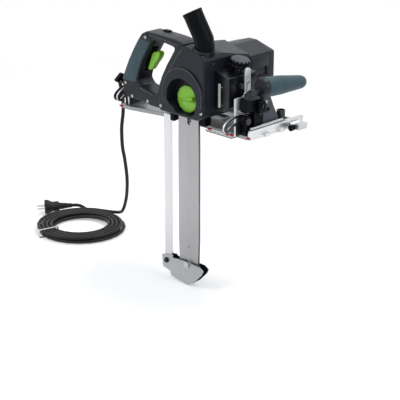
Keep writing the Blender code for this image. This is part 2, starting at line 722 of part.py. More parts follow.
def make_sprocket_cover():
    """The moulded cover: arched boss round a deep cup in which the knob turns."""
    bm = plate(bmesh.new(), COVER_OUTLINE, -COVER_FACE, -COVER_SEAM - GAP / 2, edge=COVER_EDGE)
    cover = finish("sprocket_cover", bm, ANTHRACITE)
    hollow = plate(bmesh.new(), inset(COVER_OUTLINE, COVER_WALL), COVER_WALL - COVER_FACE,
                   OVERRUN - COVER_SEAM)
    arch = arc((ARCH_X, ARCH_Z), ARCH_RADIUS, -28.0, 208.0, 26)
    boss = plate(bmesh.new(), arch, -COVER_FACE - ARCH_RISE, COVER_WALL / 2 - COVER_FACE, edge=ARCH_RISE / 2)
    cup = plate(bmesh.new(), inset(RECESS_OUTLINE, -COVER_WALL), COVER_WALL / 3 - COVER_FACE,
                CUP_DEPTH_BEHIND_SEAM - COVER_SEAM)
    recess = plate(bmesh.new(), RECESS_OUTLINE, -COVER_FACE - ARCH_RISE - OVERRUN,
                   CUP_DEPTH_BEHIND_SEAM - COVER_SEAM - CUP_FLOOR)
    bore = drum(bmesh.new(), (KNOB_X, -COVER_FACE, KNOB_Z), (0, 1, 0), STUD_RADIUS + RUN_GAP,
                COVER_DEPTH + COVER_SEAM, 14)
    collar_room = drum(bmesh.new(), SPOUT_FOOT - ROOF_NORMAL * (COLLAR_DEPTH + RUN_GAP), ROOF_NORMAL,
                       COLLAR_RADIUS_OUTER + RUN_GAP, COLLAR_DEPTH * 2, 28)
    boolean(cover, helper("cover_hollow", hollow))
    boolean(cover, helper("cover_arch", boss), "UNION")
    boolean(cover, helper("cover_cup", cup), "UNION")
    boolean(cover, helper("cover_recess", recess))
    clamp = plate(bmesh.new(), CLAMP_OUTLINE, KNOB_BASE + GAP + CUP_FLOOR / 2, -BAR_THICKNESS / 2 - GAP)
    boolean(cover, helper("cover_clamp", clamp), "UNION")
    boolean(cover, helper("cover_bore", bore))
    boolean(cover, helper("cover_collar_room", collar_room))


def make_gear_housing():
    """The gear housing: chain chamber in front, gearbox and fan room behind, spout collar on top."""
    bm = plate(bmesh.new(), COVER_OUTLINE, GAP / 2 - COVER_SEAM, HOUSING_BACK)
    housing = finish("gear_housing", bm, ANTHRACITE)
    chamber = plate(bmesh.new(), inset(COVER_OUTLINE, COVER_WALL), -COVER_SEAM - OVERRUN, CHAMBER_BACK)
    mouth = block(bmesh.new(), (-CHAMBER_HALF_OPENING, -COVER_SEAM - OVERRUN, COVER_BOTTOM - OVERRUN),
                  (CHAMBER_FRONT_OPENING, CHAMBER_BACK, COVER_BOTTOM + COVER_WALL * 2))
    collar = drum(bmesh.new(), SPOUT_FOOT - ROOF_NORMAL * COLLAR_DEPTH, ROOF_NORMAL, COLLAR_RADIUS_OUTER,
                  COLLAR_DEPTH + COLLAR_RISE, 28)
    collar_bore = drum(bmesh.new(), SPOUT_FOOT - ROOF_NORMAL * (COLLAR_DEPTH + OVERRUN), ROOF_NORMAL,
                       SPOUT_RADIUS + RUN_GAP, COLLAR_DEPTH * 2, 28)
    drive_bore = turned_tool([(0, CHAMBER_BACK - OVERRUN), (SHAFT_RADIUS + RUN_GAP, CHAMBER_BACK - OVERRUN),
                              (SHAFT_RADIUS + RUN_GAP, FRONT_BEARING_Y - GAP),
                              (BEARING_RADIUS + GAP, FRONT_BEARING_Y - GAP),
                              (BEARING_RADIUS + GAP, GEARBOX_FRONT + OVERRUN / 2),
                              (0, GEARBOX_FRONT + OVERRUN / 2)], (0, 0, DRIVE_Z))
    gearbox = turned_tool([(0, GEARBOX_FRONT), (GEARBOX_RADIUS, GEARBOX_FRONT),
                           (GEARBOX_RADIUS, PLATE_Y + PLATE_WIDTH + GAP * 3),
                           (0, PLATE_Y + PLATE_WIDTH + GAP * 3)],
                          GEARBOX_CENTRE, 28)
    fan_room = turned_tool([(0, PLATE_Y + PLATE_WIDTH + GAP), (STATOR_RADIUS + GAP, PLATE_Y + PLATE_WIDTH + GAP),
                            (STATOR_RADIUS + GAP, HOUSING_BACK + OVERRUN), (0, HOUSING_BACK + OVERRUN)],
                           (MOTOR_X, 0, MOTOR_Z), 28)
    stud_bore = drum(bmesh.new(), (KNOB_X, 0, KNOB_Z), (0, 1, 0), STUD_RADIUS + GAP,
                     CHAMBER_BACK + STUD_DEPTH / 2 + GAP, 14)
    fall = plate(bmesh.new(), [(BACK_FALL_START, GAP), (HOUSING_BACK + OVERRUN, -BACK_FALL),
                               (HOUSING_BACK + OVERRUN, BACK_FALL), (BACK_FALL_START, BACK_FALL)],
                 -COVER_WIDTH, COVER_WIDTH, axis="X")
    slope = Matrix.Rotation(math.radians(ROOF_SLOPE_DEG), 4, "Y")
    bmesh.ops.transform(fall, verts=fall.verts,
                        matrix=Matrix.Translation((SPOUT_FOOT.x, 0, SPOUT_FOOT.z)) @ slope)
    boolean(housing, helper("housing_collar", collar), "UNION")
    boolean(housing, helper("housing_chamber", chamber))
    boolean(housing, helper("housing_mouth", mouth))
    clamp = plate(bmesh.new(), CLAMP_OUTLINE, BAR_THICKNESS / 2 + GAP, CHAMBER_BACK + COVER_WALL)
    boolean(housing, helper("housing_clamp", clamp), "UNION")
    boolean(housing, helper("housing_collar_bore", collar_bore))
    boolean(housing, helper("housing_drive_bore", drive_bore))
    boolean(housing, helper("housing_gearbox", gearbox))
    boolean(housing, helper("housing_fan_room", fan_room))
    boolean(housing, helper("housing_stud_bore", stud_bore))
    boolean(housing, helper("housing_fall", fall))


def turned_tool(profile, centre, count=22):
    """A round cutter along Y whose profile is (radius, Y)."""
    return turned(bmesh.new(), profile, centre, (0, 1, 0), count)


def make_knob():
    """The knob that tensions the bar, and the fixed stud on which it turns."""
    centre = (KNOB_X, KNOB_Z)
    bm = plate(bmesh.new(), lobed(centre, KNOB_RADIUS, KNOB_FLUTE, KNOB_FLUTE_COUNT),
               KNOB_BASE - KNOB_THICKNESS, KNOB_BASE, edge=KNOB_EDGE)
    knob = finish("cover_knob", bm, GREEN, (KNOB_X, 0, KNOB_Z))
    reach = KNOB_RADIUS * KNOB_WING_SHARE
    turn = Matrix.Rotation(math.radians(KNOB_WING_TURN_DEG), 2)
    wing = [turn @ Vector(point) + Vector(centre)
            for point in ((-reach, -KNOB_WING_THICKNESS), (reach, -KNOB_WING_THICKNESS / 2),
                          (reach, KNOB_WING_THICKNESS / 2), (-reach, KNOB_WING_THICKNESS))]
    wing = plate(bmesh.new(), [tuple(point) for point in wing],
                 KNOB_BASE - KNOB_THICKNESS - KNOB_WING_RISE, KNOB_BASE - KNOB_THICKNESS / 2, edge=KNOB_EDGE)
    bore = drum(bmesh.new(), (KNOB_X, KNOB_BASE - KNOB_THICKNESS - GAP, KNOB_Z), (0, 1, 0),
                STUD_RADIUS + RUN_GAP, KNOB_THICKNESS * 2, 14)
    boolean(knob, helper("knob_wing", wing), "UNION")
    boolean(knob, helper("knob_bore", bore))
    stud = drum(bmesh.new(), (KNOB_X, KNOB_BASE - KNOB_THICKNESS + GAP, KNOB_Z), (0, 1, 0), STUD_RADIUS,
                STUD_DEPTH / 2 + CHAMBER_BACK - KNOB_BASE + KNOB_THICKNESS - GAP, 14)
    finish("bar_stud", stud, STEEL)


def make_sprocket_train():
    """Sprocket, shaft and large gear, which turn together in two ball bearings."""
    pitch_radius = CHAIN_PITCH / math.sin(math.pi / SPROCKET_TEETH_COUNT)
    star = []
    for index in range(SPROCKET_TEETH_COUNT):
        for turn_share, reach_share in SPROCKET_TOOTH_SHARES:
            angle = math.tau * (index + turn_share) / SPROCKET_TEETH_COUNT
            star.append((pitch_radius * reach_share * math.cos(angle),
                         DRIVE_Z + pitch_radius * reach_share * math.sin(angle)))
    bore = circle((0, DRIVE_Z), SHAFT_RADIUS + GAP, 16)
    bm = plate(bmesh.new(), star, -SPROCKET_THICKNESS / 2, SPROCKET_THICKNESS / 2, holes=[bore])
    finish("drive_sprocket", bm, STEEL, (0, 0, DRIVE_Z))
    back = PLATE_Y + BEARING_WIDTH
    bm = turned(bmesh.new(), [(0, -SHAFT_NOSE), (SHAFT_RADIUS, -SHAFT_NOSE), (SHAFT_RADIUS, PLATE_Y - GAP),
                              (SMALL_SHAFT_RADIUS, PLATE_Y - GAP), (SMALL_SHAFT_RADIUS, back), (0, back)],
                (0, 0, DRIVE_Z), (0, 1, 0), 16)
    finish("sprocket_shaft", bm, STEEL, (0, 0, DRIVE_Z))
    bm = plate(bmesh.new(), toothed((0, DRIVE_Z), GEAR_TEETH_COUNT,
                                    MOTOR_ANGLE_DEG + 180.0 / GEAR_TEETH_COUNT),
               GEAR_Y, GEAR_Y + GEAR_WIDTH, holes=[bore])
    finish("drive_gear", bm, STEEL, (0, 0, DRIVE_Z))


def make_rotor():
    """Pinion, armature and fan on the motor shaft."""
    axis = (MOTOR_X, 0, MOTOR_Z)
    bm = plate(bmesh.new(), toothed((MOTOR_X, MOTOR_Z), PINION_TEETH_COUNT, MOTOR_ANGLE_DEG + 180.0),
               GEAR_Y - GAP, GEAR_Y + GEAR_WIDTH + GAP,
               holes=[circle((MOTOR_X, MOTOR_Z), PINION_SHAFT_RADIUS + GAP, 12)])
    finish("motor_pinion", bm, STEEL, axis)
    step_y = GEAR_Y + GEAR_WIDTH + GAP * 2
    core_end = ARMATURE_Y + ARMATURE_LENGTH
    copper_end = core_end + GAP * 5 + COMMUTATOR_LENGTH
    rear = MOTOR_BACK + END_CAP_BEARING_Y + BEARING_WIDTH
    bm = turned(bmesh.new(), [(0, GEARBOX_FRONT + OVERRUN), (PINION_SHAFT_RADIUS, GEARBOX_FRONT + OVERRUN),
                              (PINION_SHAFT_RADIUS, step_y), (SHAFT_RADIUS, step_y),
                              (SHAFT_RADIUS, ARMATURE_Y), (ARMATURE_RADIUS, ARMATURE_Y),
                              (ARMATURE_RADIUS, core_end), (COMMUTATOR_RADIUS, core_end),
                              (COMMUTATOR_RADIUS, copper_end), (SHAFT_RADIUS, copper_end),
                              (SHAFT_RADIUS, rear), (0, rear)], axis, (0, 1, 0), 28)
    finish("armature", bm, COPPER, axis)
    bm = turned(bmesh.new(), [(SHAFT_RADIUS + GAP, 0), (FAN_RADIUS, 0), (FAN_RADIUS, FAN_BLADE_THICKNESS),
                              (SHAFT_RADIUS * 2, FAN_BLADE_THICKNESS), (SHAFT_RADIUS * 2, FAN_WIDTH),
                              (SHAFT_RADIUS + GAP, FAN_WIDTH)], (MOTOR_X, FAN_Y, MOTOR_Z), (0, 1, 0), 28)
    fan = finish("cooling_fan", bm, BLACK, axis)
    blades = bmesh.new()
    for index in range(FAN_BLADE_COUNT):
        angle = math.tau * index / FAN_BLADE_COUNT
        blade = block(bmesh.new(), (SHAFT_RADIUS * 2 - GAP, FAN_BLADE_THICKNESS / 2, -FAN_BLADE_THICKNESS / 2),
                      (FAN_RADIUS - GAP, FAN_WIDTH - GAP, FAN_BLADE_THICKNESS / 2))
        bmesh.ops.rotate(blade, verts=blade.verts, cent=(0, 0, 0), matrix=Matrix.Rotation(angle, 3, "Y"))
        bmesh.ops.translate(blade, verts=blade.verts, vec=(MOTOR_X, FAN_Y, MOTOR_Z))
        lumps = bpy.data.meshes.new("blade")
        blade.to_mesh(lumps)
        blade.free()
        blades.from_mesh(lumps)
    boolean(fan, helper("fan_blades", blades), "UNION")


def make_bearings():
    """The ball bearings of the sprocket shaft and of the motor shaft."""
    for name, x, y, z in (("shaft_bearing", 0, FRONT_BEARING_Y, DRIVE_Z),
                          ("motor_bearing", MOTOR_X, PLATE_Y, MOTOR_Z)):
        inner = SHAFT_RADIUS + GAP
        race = (BEARING_RADIUS - inner) / 3
        bm = turned(bmesh.new(), [(inner, 0), (inner + race, 0), (inner + race, RACE_GROOVE),
                                  (BEARING_RADIUS - race, RACE_GROOVE), (BEARING_RADIUS - race, 0),
                                  (BEARING_RADIUS, 0), (BEARING_RADIUS, BEARING_WIDTH), (inner, BEARING_WIDTH)],
                    (x, y, z), (0, 1, 0), 20)
        finish(name, bm, STEEL)


def make_gearbox_plate():
    """The round plate that closes the gearbox and carries a bearing of each shaft."""
    start = GEARBOX_CENTRE + Vector((0, PLATE_Y, 0))
    bm = drum(bmesh.new(), start, (0, 1, 0), GEARBOX_RADIUS - GAP, PLATE_WIDTH, 28)
    closing = finish("gearbox_plate", bm, ALUMINIUM)
    depth = BEARING_WIDTH + GAP
    small_seat = drum(bmesh.new(), (0, PLATE_Y - OVERRUN, DRIVE_Z), (0, 1, 0), SMALL_SHAFT_RADIUS + RUN_GAP,
                      depth + OVERRUN, 16)
    seat = drum(bmesh.new(), (MOTOR_X, PLATE_Y - OVERRUN, MOTOR_Z), (0, 1, 0), BEARING_RADIUS + GAP,
                depth + OVERRUN, 20)
    passage = drum(bmesh.new(), (MOTOR_X, PLATE_Y, MOTOR_Z), (0, 1, 0), SHAFT_RADIUS + RUN_GAP,
                   PLATE_WIDTH + OVERRUN, 16)
    boolean(closing, helper("plate_small_seat", small_seat))
    boolean(closing, helper("plate_seat", seat))
    boolean(closing, helper("plate_passage", passage))


def make_motor():
    """Stator, motor housing with its vents, and the tapered end cap."""
    start = (MOTOR_X, STATOR_Y, MOTOR_Z)
    finish("stator", ring(bmesh.new(), start, (0, 1, 0), STATOR_RADIUS, STATOR_BORE, STATOR_LENGTH, 28), STEEL)
    outline = rounded([(MOTOR_X + x, MOTOR_Z + z) for x, z in scaled(MOTOR_SHARES, MOTOR_HALF_WIDTH)],
                      MOTOR_CHAMFER / 2, 2)
    bore = circle((MOTOR_X, MOTOR_Z), STATOR_RADIUS + GAP, 28)
    bm = plate(bmesh.new(), outline, MOTOR_FRONT, MOTOR_BACK, holes=[bore])
    housing = finish("motor_housing", bm, ANTHRACITE)
    cuts = bmesh.new()
    band_top = MOTOR_Z + MOTOR_BAND_HEIGHT / 2
    for side in (-1, 1):
        edge_x = MOTOR_X + MOTOR_HALF_WIDTH * side
        ends = sorted((edge_x - MOTOR_BAND_DEPTH * side, edge_x + OVERRUN * side))
        block(cuts, (ends[0], MOTOR_FRONT + MOTOR_BAND_MARGIN, band_top - MOTOR_BAND_HEIGHT),
              (ends[1], MOTOR_BACK - MOTOR_BAND_MARGIN, band_top))
        ends = sorted((edge_x - VENT_DEPTH * side, edge_x + OVERRUN * side))
        for index in range(VENT_COUNT):
            y = MOTOR_FRONT + MOTOR_BAND_MARGIN + VENT_PITCH * index
            block(cuts, (ends[0], y, VENT_BOTTOM), (ends[1], y + VENT_WIDTH, VENT_TOP))
    boolean(housing, helper("motor_cuts", cuts))

    bm = plate(bmesh.new(), outline, MOTOR_BACK + GAP, MOTOR_BACK + END_CAP_LENGTH, edge=END_CAP_TAPER,
               side="high")
    end_cap = finish("motor_end_cap", bm, ANTHRACITE)
    wall = BEARING_RADIUS + COVER_WALL
    depth = END_CAP_LENGTH - COVER_WALL * 2
    seat_depth = END_CAP_BEARING_Y + BEARING_WIDTH + GAP
    start = (MOTOR_X, MOTOR_BACK, MOTOR_Z)
    room = turned(bmesh.new(), [(wall, -OVERRUN), (STATOR_RADIUS - COVER_WALL, -OVERRUN),
                                (STATOR_RADIUS - COVER_WALL, depth), (wall, depth)], start, (0, 1, 0), 28)
    seat = turned(bmesh.new(), [(0, -OVERRUN), (wall + GAP, -OVERRUN), (wall + GAP, END_CAP_BEARING_Y),
                                (SHAFT_RADIUS + RUN_GAP, END_CAP_BEARING_Y),
                                (SHAFT_RADIUS + RUN_GAP, seat_depth),
                                (0, seat_depth)], start, (0, 1, 0), 20)
    slots = bmesh.new()
    for index in range(END_VENT_COUNT):
        x = MOTOR_X + VENT_PITCH * (index - (END_VENT_COUNT - 1) / 2)
        block(slots, (x - VENT_WIDTH / 2, MOTOR_BACK + END_CAP_LENGTH - VENT_DEPTH, MOTOR_Z - END_VENT_HALF),
              (x + VENT_WIDTH / 2, MOTOR_BACK + END_CAP_LENGTH + OVERRUN, MOTOR_Z + END_VENT_HALF))
    boolean(end_cap, helper("end_cap_room", room))
    boolean(end_cap, helper("end_cap_seat", seat))
    boolean(end_cap, helper("end_cap_slots", slots))


def make_spout():
    """The elbow through which the chips leave; it turns in the collar of the gear housing."""
    lean = Vector((SPOUT_LEAN_X, SPOUT_LEAN_Y, SPOUT_LEAN_Z)).normalized()
    between = (ROOF_NORMAL + lean).normalized()
    path = [SPOUT_FOOT - ROOF_NORMAL * SPOUT_SINK, SPOUT_FOOT + ROOF_NORMAL * SPOUT_NECK]
    path.append(path[-1] + between * SPOUT_BEND_LENGTH)
    path.append(path[-1] + lean * SPOUT_LENGTH)
    bm = bmesh.new()
    outer = [[bm.verts.new(corner) for corner in row] for row in mitred(path, SPOUT_RADIUS, 28)]
    inner = [[bm.verts.new(corner) for corner in row] for row in mitred(path, SPOUT_RADIUS - SPOUT_WALL, 28)]
    rows = outer + inner[::-1]
    for lower, upper in zip(rows, rows[1:] + rows[:1]):
        join(bm, lower, upper)
    finish("extraction_spout", bm, BLACK, SPOUT_FOOT)


def make_oil_tank():
    """Hollow oil tank with a neck, a fluted cap on it and a window in the near wall."""
    outline = scaled(TANK_SHARES, TANK_FRONT)
    tank = finish("oil_tank", plate(bmesh.new(), rounded(outline, TANK_WALL, 2), -TANK_NEAR, TANK_FAR,
                                    edge=TANK_EDGE, side="both"), ANTHRACITE)
    room = plate(bmesh.new(), inset(outline, TANK_WALL), TANK_WALL - TANK_NEAR, TANK_FAR - TANK_WALL)
    lean = Vector((math.sin(math.radians(CAP_LEAN_DEG)), 0, math.cos(math.radians(CAP_LEAN_DEG))))
    foot = Vector((CAP_X, CAP_Y, TANK_TOP - TANK_FALL * NECK_FALL_SHARE))
    neck = drum(bmesh.new(), foot - lean * TANK_WALL * 2, lean, NECK_RADIUS, NECK_HEIGHT + TANK_WALL * 2, 24)
    bore = drum(bmesh.new(), foot - lean * NECK_RADIUS, lean, NECK_BORE, NECK_RADIUS * 2, 24)
    posts = bmesh.new()
    for z in BOSS_HEIGHTS:
        drum(posts, (TANK_FRONT - TANK_WALL / 2, BOSS_Y, z), (1, 0, 0), BOSS_RADIUS,
             FRONT_PLATE_X - GAP - TANK_FRONT + TANK_WALL / 2, 16)
    slot = block(bmesh.new(), (WINDOW_X - WINDOW_WIDTH / 2, -TANK_NEAR - OVERRUN, WINDOW_BOTTOM),
                 (WINDOW_X + WINDOW_WIDTH / 2, OVERRUN - TANK_NEAR, WINDOW_TOP))
    boolean(tank, helper("tank_room", room))
    boolean(tank, helper("tank_neck", neck), "UNION")
    boolean(tank, helper("tank_bore", bore))
    boolean(tank, helper("tank_posts", posts), "UNION")
    boolean(tank, helper("tank_slot", slot))
    bm = block(bmesh.new(), (WINDOW_X - WINDOW_WIDTH / 2 + GAP, -TANK_NEAR - GAP, WINDOW_BOTTOM + GAP),
               (WINDOW_X + WINDOW_WIDTH / 2 - GAP, TANK_WALL - TANK_NEAR, WINDOW_TOP - GAP))
    finish("sight_window", bm, CLEAR)
    seat = foot + lean * (NECK_HEIGHT + GAP)
    turn = lean.to_track_quat("Z", "Y").to_matrix().to_4x4()
    bm = plate(bmesh.new(), lobed((0, 0), CAP_RADIUS, CAP_FLUTE_DEPTH, CAP_FLUTE_COUNT), 0, CAP_HEIGHT,
               axis="Z", edge=CAP_FLUTE_DEPTH, side="high")
    bmesh.ops.transform(bm, matrix=Matrix.Translation(seat) @ turn, verts=bm.verts)
    lid = finish("oil_cap", bm, BLACK, seat)
    stopper = drum(bmesh.new(), seat - lean * CAP_PLUG_LENGTH, lean, NECK_BORE - GAP,
                   CAP_PLUG_LENGTH + CAP_HEIGHT / 2, 24)
    boolean(lid, helper("cap_stopper", stopper), "UNION")


def make_handle():
    """The rear handle: two shells, the soft pad round the grip, the trigger, its switch and lock."""
    outline = rounded(scaled(HANDLE_SHARES, HANDLE_TOP), HANDLE_EDGE * 2, 2)
    opening = rounded(scaled(HANDLE_HOLE_SHARES, HANDLE_TOP), HANDLE_EDGE * 2, 2)
    near = finish("handle_shell_near", plate(bmesh.new(), outline, -HANDLE_NEAR, -HANDLE_SPLIT - GAP / 2,
                                             holes=[opening], edge=HANDLE_EDGE), ANTHRACITE)
    far = finish("handle_shell_far", plate(bmesh.new(), outline, GAP / 2 - HANDLE_SPLIT, HANDLE_FAR,
                                           holes=[opening], edge=HANDLE_EDGE, side="high"), ANTHRACITE)
    keep_out = plate(bmesh.new(), inset(COVER_OUTLINE, -GAP), -COVER_FACE - OVERRUN, HANDLE_FAR + OVERRUN)
    pad_region = scaled(PAD_REGION_SHARES, HANDLE_TOP)
    groove = helper("pad_groove", plate(bmesh.new(), inset(pad_region, -GAP), -HANDLE_NEAR - OVERRUN,
                                        HANDLE_FAR + OVERRUN))
    depth = PAD_THICKNESS - PAD_PROUD
    grip_outline = [point for point in scaled(HANDLE_SHARES, HANDLE_TOP) if point[0] < -COVER_REAR]
    grip_outline = rounded(grip_outline, HANDLE_EDGE * 2, 2)
    core = plate(bmesh.new(), inset(grip_outline, depth + GAP), depth + GAP - HANDLE_NEAR,
                 HANDLE_FAR - depth - GAP, edge=HANDLE_EDGE / 2, side="both")
    boolean(groove, helper("groove_core", core))
    cuts = bmesh.new()
    block(cuts, (-TRIGGER_ROOM_REAR, -HANDLE_SPLIT - TRIGGER_WIDTH / 2 - RUN_GAP, TRIGGER_ROOM_BOTTOM),
          (-TRIGGER_ROOM_FRONT, TRIGGER_WIDTH / 2 + RUN_GAP - HANDLE_SPLIT, TRIGGER_ROOM_TOP))
    switch_low = Vector((-TRIGGER_ROOM_REAR - GAP - SWITCH_LENGTH, -HANDLE_SPLIT - SWITCH_WIDTH / 2, SWITCH_Z))
    switch_high = switch_low + Vector((SWITCH_LENGTH, SWITCH_WIDTH, SWITCH_HEIGHT))
    margin = Vector((GAP, GAP, GAP))
    room = block(bmesh.new(), switch_low - margin, switch_high + margin * 2)
    pivot = Vector((-TRIGGER_PIVOT_X, -HANDLE_SPLIT, TRIGGER_PIVOT_Z))
    reach = TRIGGER_WIDTH / 2 + RUN_GAP + TRIGGER_PIN_SEAT
    pin_room = drum(bmesh.new(), pivot - Vector((0, reach, 0)), (0, 1, 0), TRIGGER_PIN_RADIUS + GAP,
                    reach * 2, 12)
    for shell, tag in ((near, "near"), (far, "far")):
        boolean(shell, bpy.data.objects.get("handle_keep_out") or helper("handle_keep_out", keep_out))
        boolean(shell, groove)
        boolean(shell, bpy.data.objects.get("trigger_room") or helper("trigger_room", cuts))
        boolean(shell, bpy.data.objects.get("switch_room") or helper("switch_room", room))
        boolean(shell, bpy.data.objects.get("pin_room") or helper("pin_room", pin_room))

    pad = plate(bmesh.new(), inset(grip_outline, -PAD_PROUD), -HANDLE_NEAR - PAD_PROUD, HANDLE_FAR + PAD_PROUD,
                edge=HANDLE_EDGE, side="both")
    pad = finish("grip_pad", pad, SOFT_GRIP)
    body = plate(bmesh.new(), inset(grip_outline, depth), depth - HANDLE_NEAR, HANDLE_FAR - depth,
                 edge=HANDLE_EDGE / 2, side="both")
    boolean(pad, helper("pad_region", plate(bmesh.new(), pad_region, -HANDLE_NEAR - OVERRUN,
                                            HANDLE_FAR + OVERRUN)), "INTERSECT")
    boolean(pad, helper("pad_body", body))

    finish("switch_unit", block(bmesh.new(), switch_low, switch_high), BLACK)
    bm = plate(bmesh.new(), rounded(scaled(TRIGGER_SHARES, HANDLE_TOP), TRIGGER_PIN_RADIUS, 2),
               -HANDLE_SPLIT - TRIGGER_WIDTH / 2, TRIGGER_WIDTH / 2 - HANDLE_SPLIT,
               edge=TRIGGER_PIN_RADIUS / 2, side="both")
    trigger = finish("trigger", bm, GREEN, pivot)
    reach -= GAP
    axle = drum(bmesh.new(), pivot - Vector((0, reach, 0)), (0, 1, 0), TRIGGER_PIN_RADIUS, reach * 2, 12)
    boolean(trigger, helper("trigger_axle", axle), "UNION")

    button_low = Vector((-BUTTON_X - BUTTON_LENGTH / 2, BUTTON_Y, HANDLE_TOP - BUTTON_SINK))
    button_high = Vector((-BUTTON_X + BUTTON_LENGTH / 2, BUTTON_Y + BUTTON_WIDTH, HANDLE_TOP + BUTTON_RISE))
    finish("lock_button", block(bmesh.new(), button_low, button_high), BLACK, (button_low + button_high) / 2)
    pocket = block(bmesh.new(), button_low - margin - Vector((0, 0, BUTTON_TRAVEL)), button_high + margin * 2)
    boolean(far, helper("button_room", pocket))


def make_bar_and_rail():
    """Guide bar, the support rail behind it, its bracket, and the shoe that holds both at the end."""
    side = scaled(BAR_SIDE_SHARES, BAR_REACH)
    slot_side = BAR_SLOT_WIDTH / 2
    slot_mouth = [(BAR_SLOT_OFFSET + slot_side, BAR_TAIL)]
    slot_mouth += arc((BAR_SLOT_OFFSET, BAR_SLOT_END + slot_side), slot_side, 0.0, -180.0, 8)
    slot_mouth.append((BAR_SLOT_OFFSET - slot_side, BAR_TAIL))
    outline = [(-x, z) for x, z in side] + side[::-1][1:] + slot_mouth
    nose = (BAR_SLOT_OFFSET, SHOE_HEIGHT - SHOE_BOTTOM - NOSE_BOLT_INSET)
    holes = [circle((BAR_SLOT_OFFSET / 2, BAR_HOLE_INSET - BAR_REACH), BAR_HOLE_RADIUS, 12),
             circle(nose, NOSE_BOLT_RADIUS + GAP, 14)]
    bm = plate(bmesh.new(), outline, -BAR_THICKNESS / 2, BAR_THICKNESS / 2, holes=holes)
    finish("guide_bar", bm, STEEL)

    rear = -RAIL_CENTRE - RAIL_WIDTH / 2
    front = RAIL_WIDTH / 2 - RAIL_CENTRE
    foot = RAIL_INSET - SHOE_BOTTOM
    bm = plate(bmesh.new(), [(rear, foot), (front, foot), (front, RAIL_TOP), (rear, RAIL_TOP)],
               -BAR_THICKNESS / 2, BAR_THICKNESS / 2)
    finish("support_rail", bm, ALUMINIUM)
    near = BAR_THICKNESS / 2 + GAP
    top = COVER_BOTTOM - GAP
    bm = plate(bmesh.new(), [(rear - OVERRUN, -BRACKET_DROP), (front + OVERRUN, -BRACKET_DROP),
                             (front + OVERRUN, top), (rear - OVERRUN, top)],
               near, near + RAIL_BRACKET_THICKNESS)
    finish("rail_bracket", bm, STEEL)
    bm = block(bmesh.new(), (-DEFLECTOR_REAR, -DEFLECTOR_HALF, DEFLECTOR_BOTTOM),
               (-CHAMBER_HALF_OPENING - GAP, DEFLECTOR_HALF, top))
    finish("chip_deflector", bm, BLACK)
    bm = block(bmesh.new(), (CHAMBER_HALF_OPENING + GAP, -DEFLECTOR_HALF, CATCHER_BOTTOM),
               (CATCHER_FRONT, DEFLECTOR_HALF, top))
    finish("chain_catcher", bm, BLACK)

    shoe_side, tab_side, wall_side = ([(x, z - SHOE_BOTTOM) for x, z in scaled(shares, SHOE_HEIGHT)]
                                      for shares in (SHOE_SHARES, SHOE_TAB_SHARES, SHOE_WALL_SHARES))
    for name, way in (("shoe_near_plate", -1), ("shoe_far_plate", 1)):
        levels = sorted((way * (near + SHOE_STEP), way * (near + SHOE_STEP + SHOE_THICKNESS)))
        bm = plate(bmesh.new(), shoe_side, *levels, holes=[circle(nose, NOSE_BOLT_RADIUS + GAP, 14)])
        shoe = finish(name, bm, ANTHRACITE)
        tab = plate(bmesh.new(), tab_side, *sorted((way * near, way * (near + SHOE_THICKNESS))))
        wall = plate(bmesh.new(), wall_side,
                     *sorted((way * near, way * (near + SHOE_STEP + SHOE_THICKNESS - GAP))))
        boolean(shoe, helper(name + "_tab", tab), "UNION")
        boolean(shoe, helper(name + "_wall", wall), "UNION")
    outer = near + SHOE_STEP + SHOE_THICKNESS + GAP
    bm = turned(bmesh.new(), [(0, -outer - NUT_HEIGHT), (NUT_RADIUS, -outer - NUT_HEIGHT), (NUT_RADIUS, -outer),
                              (NOSE_BOLT_RADIUS, -outer), (NOSE_BOLT_RADIUS, outer), (0, outer)],
                (nose[0], 0, nose[1]), (0, 1, 0), 14)
    finish("nose_bolt", bm, STEEL)


def segment_outline():
    """The bevel segment with its foot on the sole, and the curved slot in it."""
    rim = arc((0, 0), SEGMENT_RADIUS, SEGMENT_START_DEG, SLOT_END_DEG, 14)
    middle = math.radians(SLOT_END_DEG)
    lobe = (SLOT_RADIUS * math.cos(middle), SLOT_RADIUS * math.sin(middle))
    reach = SEGMENT_RADIUS - SLOT_RADIUS
    rim += arc(lobe, reach, SLOT_END_DEG, SLOT_END_DEG + 180.0, 6)[1:]
    rim += arc((0, 0), SLOT_RADIUS - reach, SLOT_END_DEG, SEGMENT_INNER_DEG, 4)[1:]
    foot = SOLE_THICKNESS + GAP
    rim += [(-SEGMENT_FOOT_NEAR, foot), (SEGMENT_FOOT_FAR, foot)]
    slot = arc((0, 0), SLOT_RADIUS + SLOT_HALF_WIDTH, SLOT_START_DEG, SLOT_END_DEG, 12)
    slot += arc(lobe, SLOT_HALF_WIDTH, SLOT_END_DEG, SLOT_END_DEG + 180.0, 5)[1:-1]
    slot += arc((0, 0), SLOT_RADIUS - SLOT_HALF_WIDTH, SLOT_END_DEG, SLOT_START_DEG, 12)
    start = math.radians(SLOT_START_DEG)
    first = (SLOT_RADIUS * math.cos(start), SLOT_RADIUS * math.sin(start))
    slot += arc(first, SLOT_HALF_WIDTH, SLOT_START_DEG - 180.0, SLOT_START_DEG, 5)[1:-1]
    return rim, slot


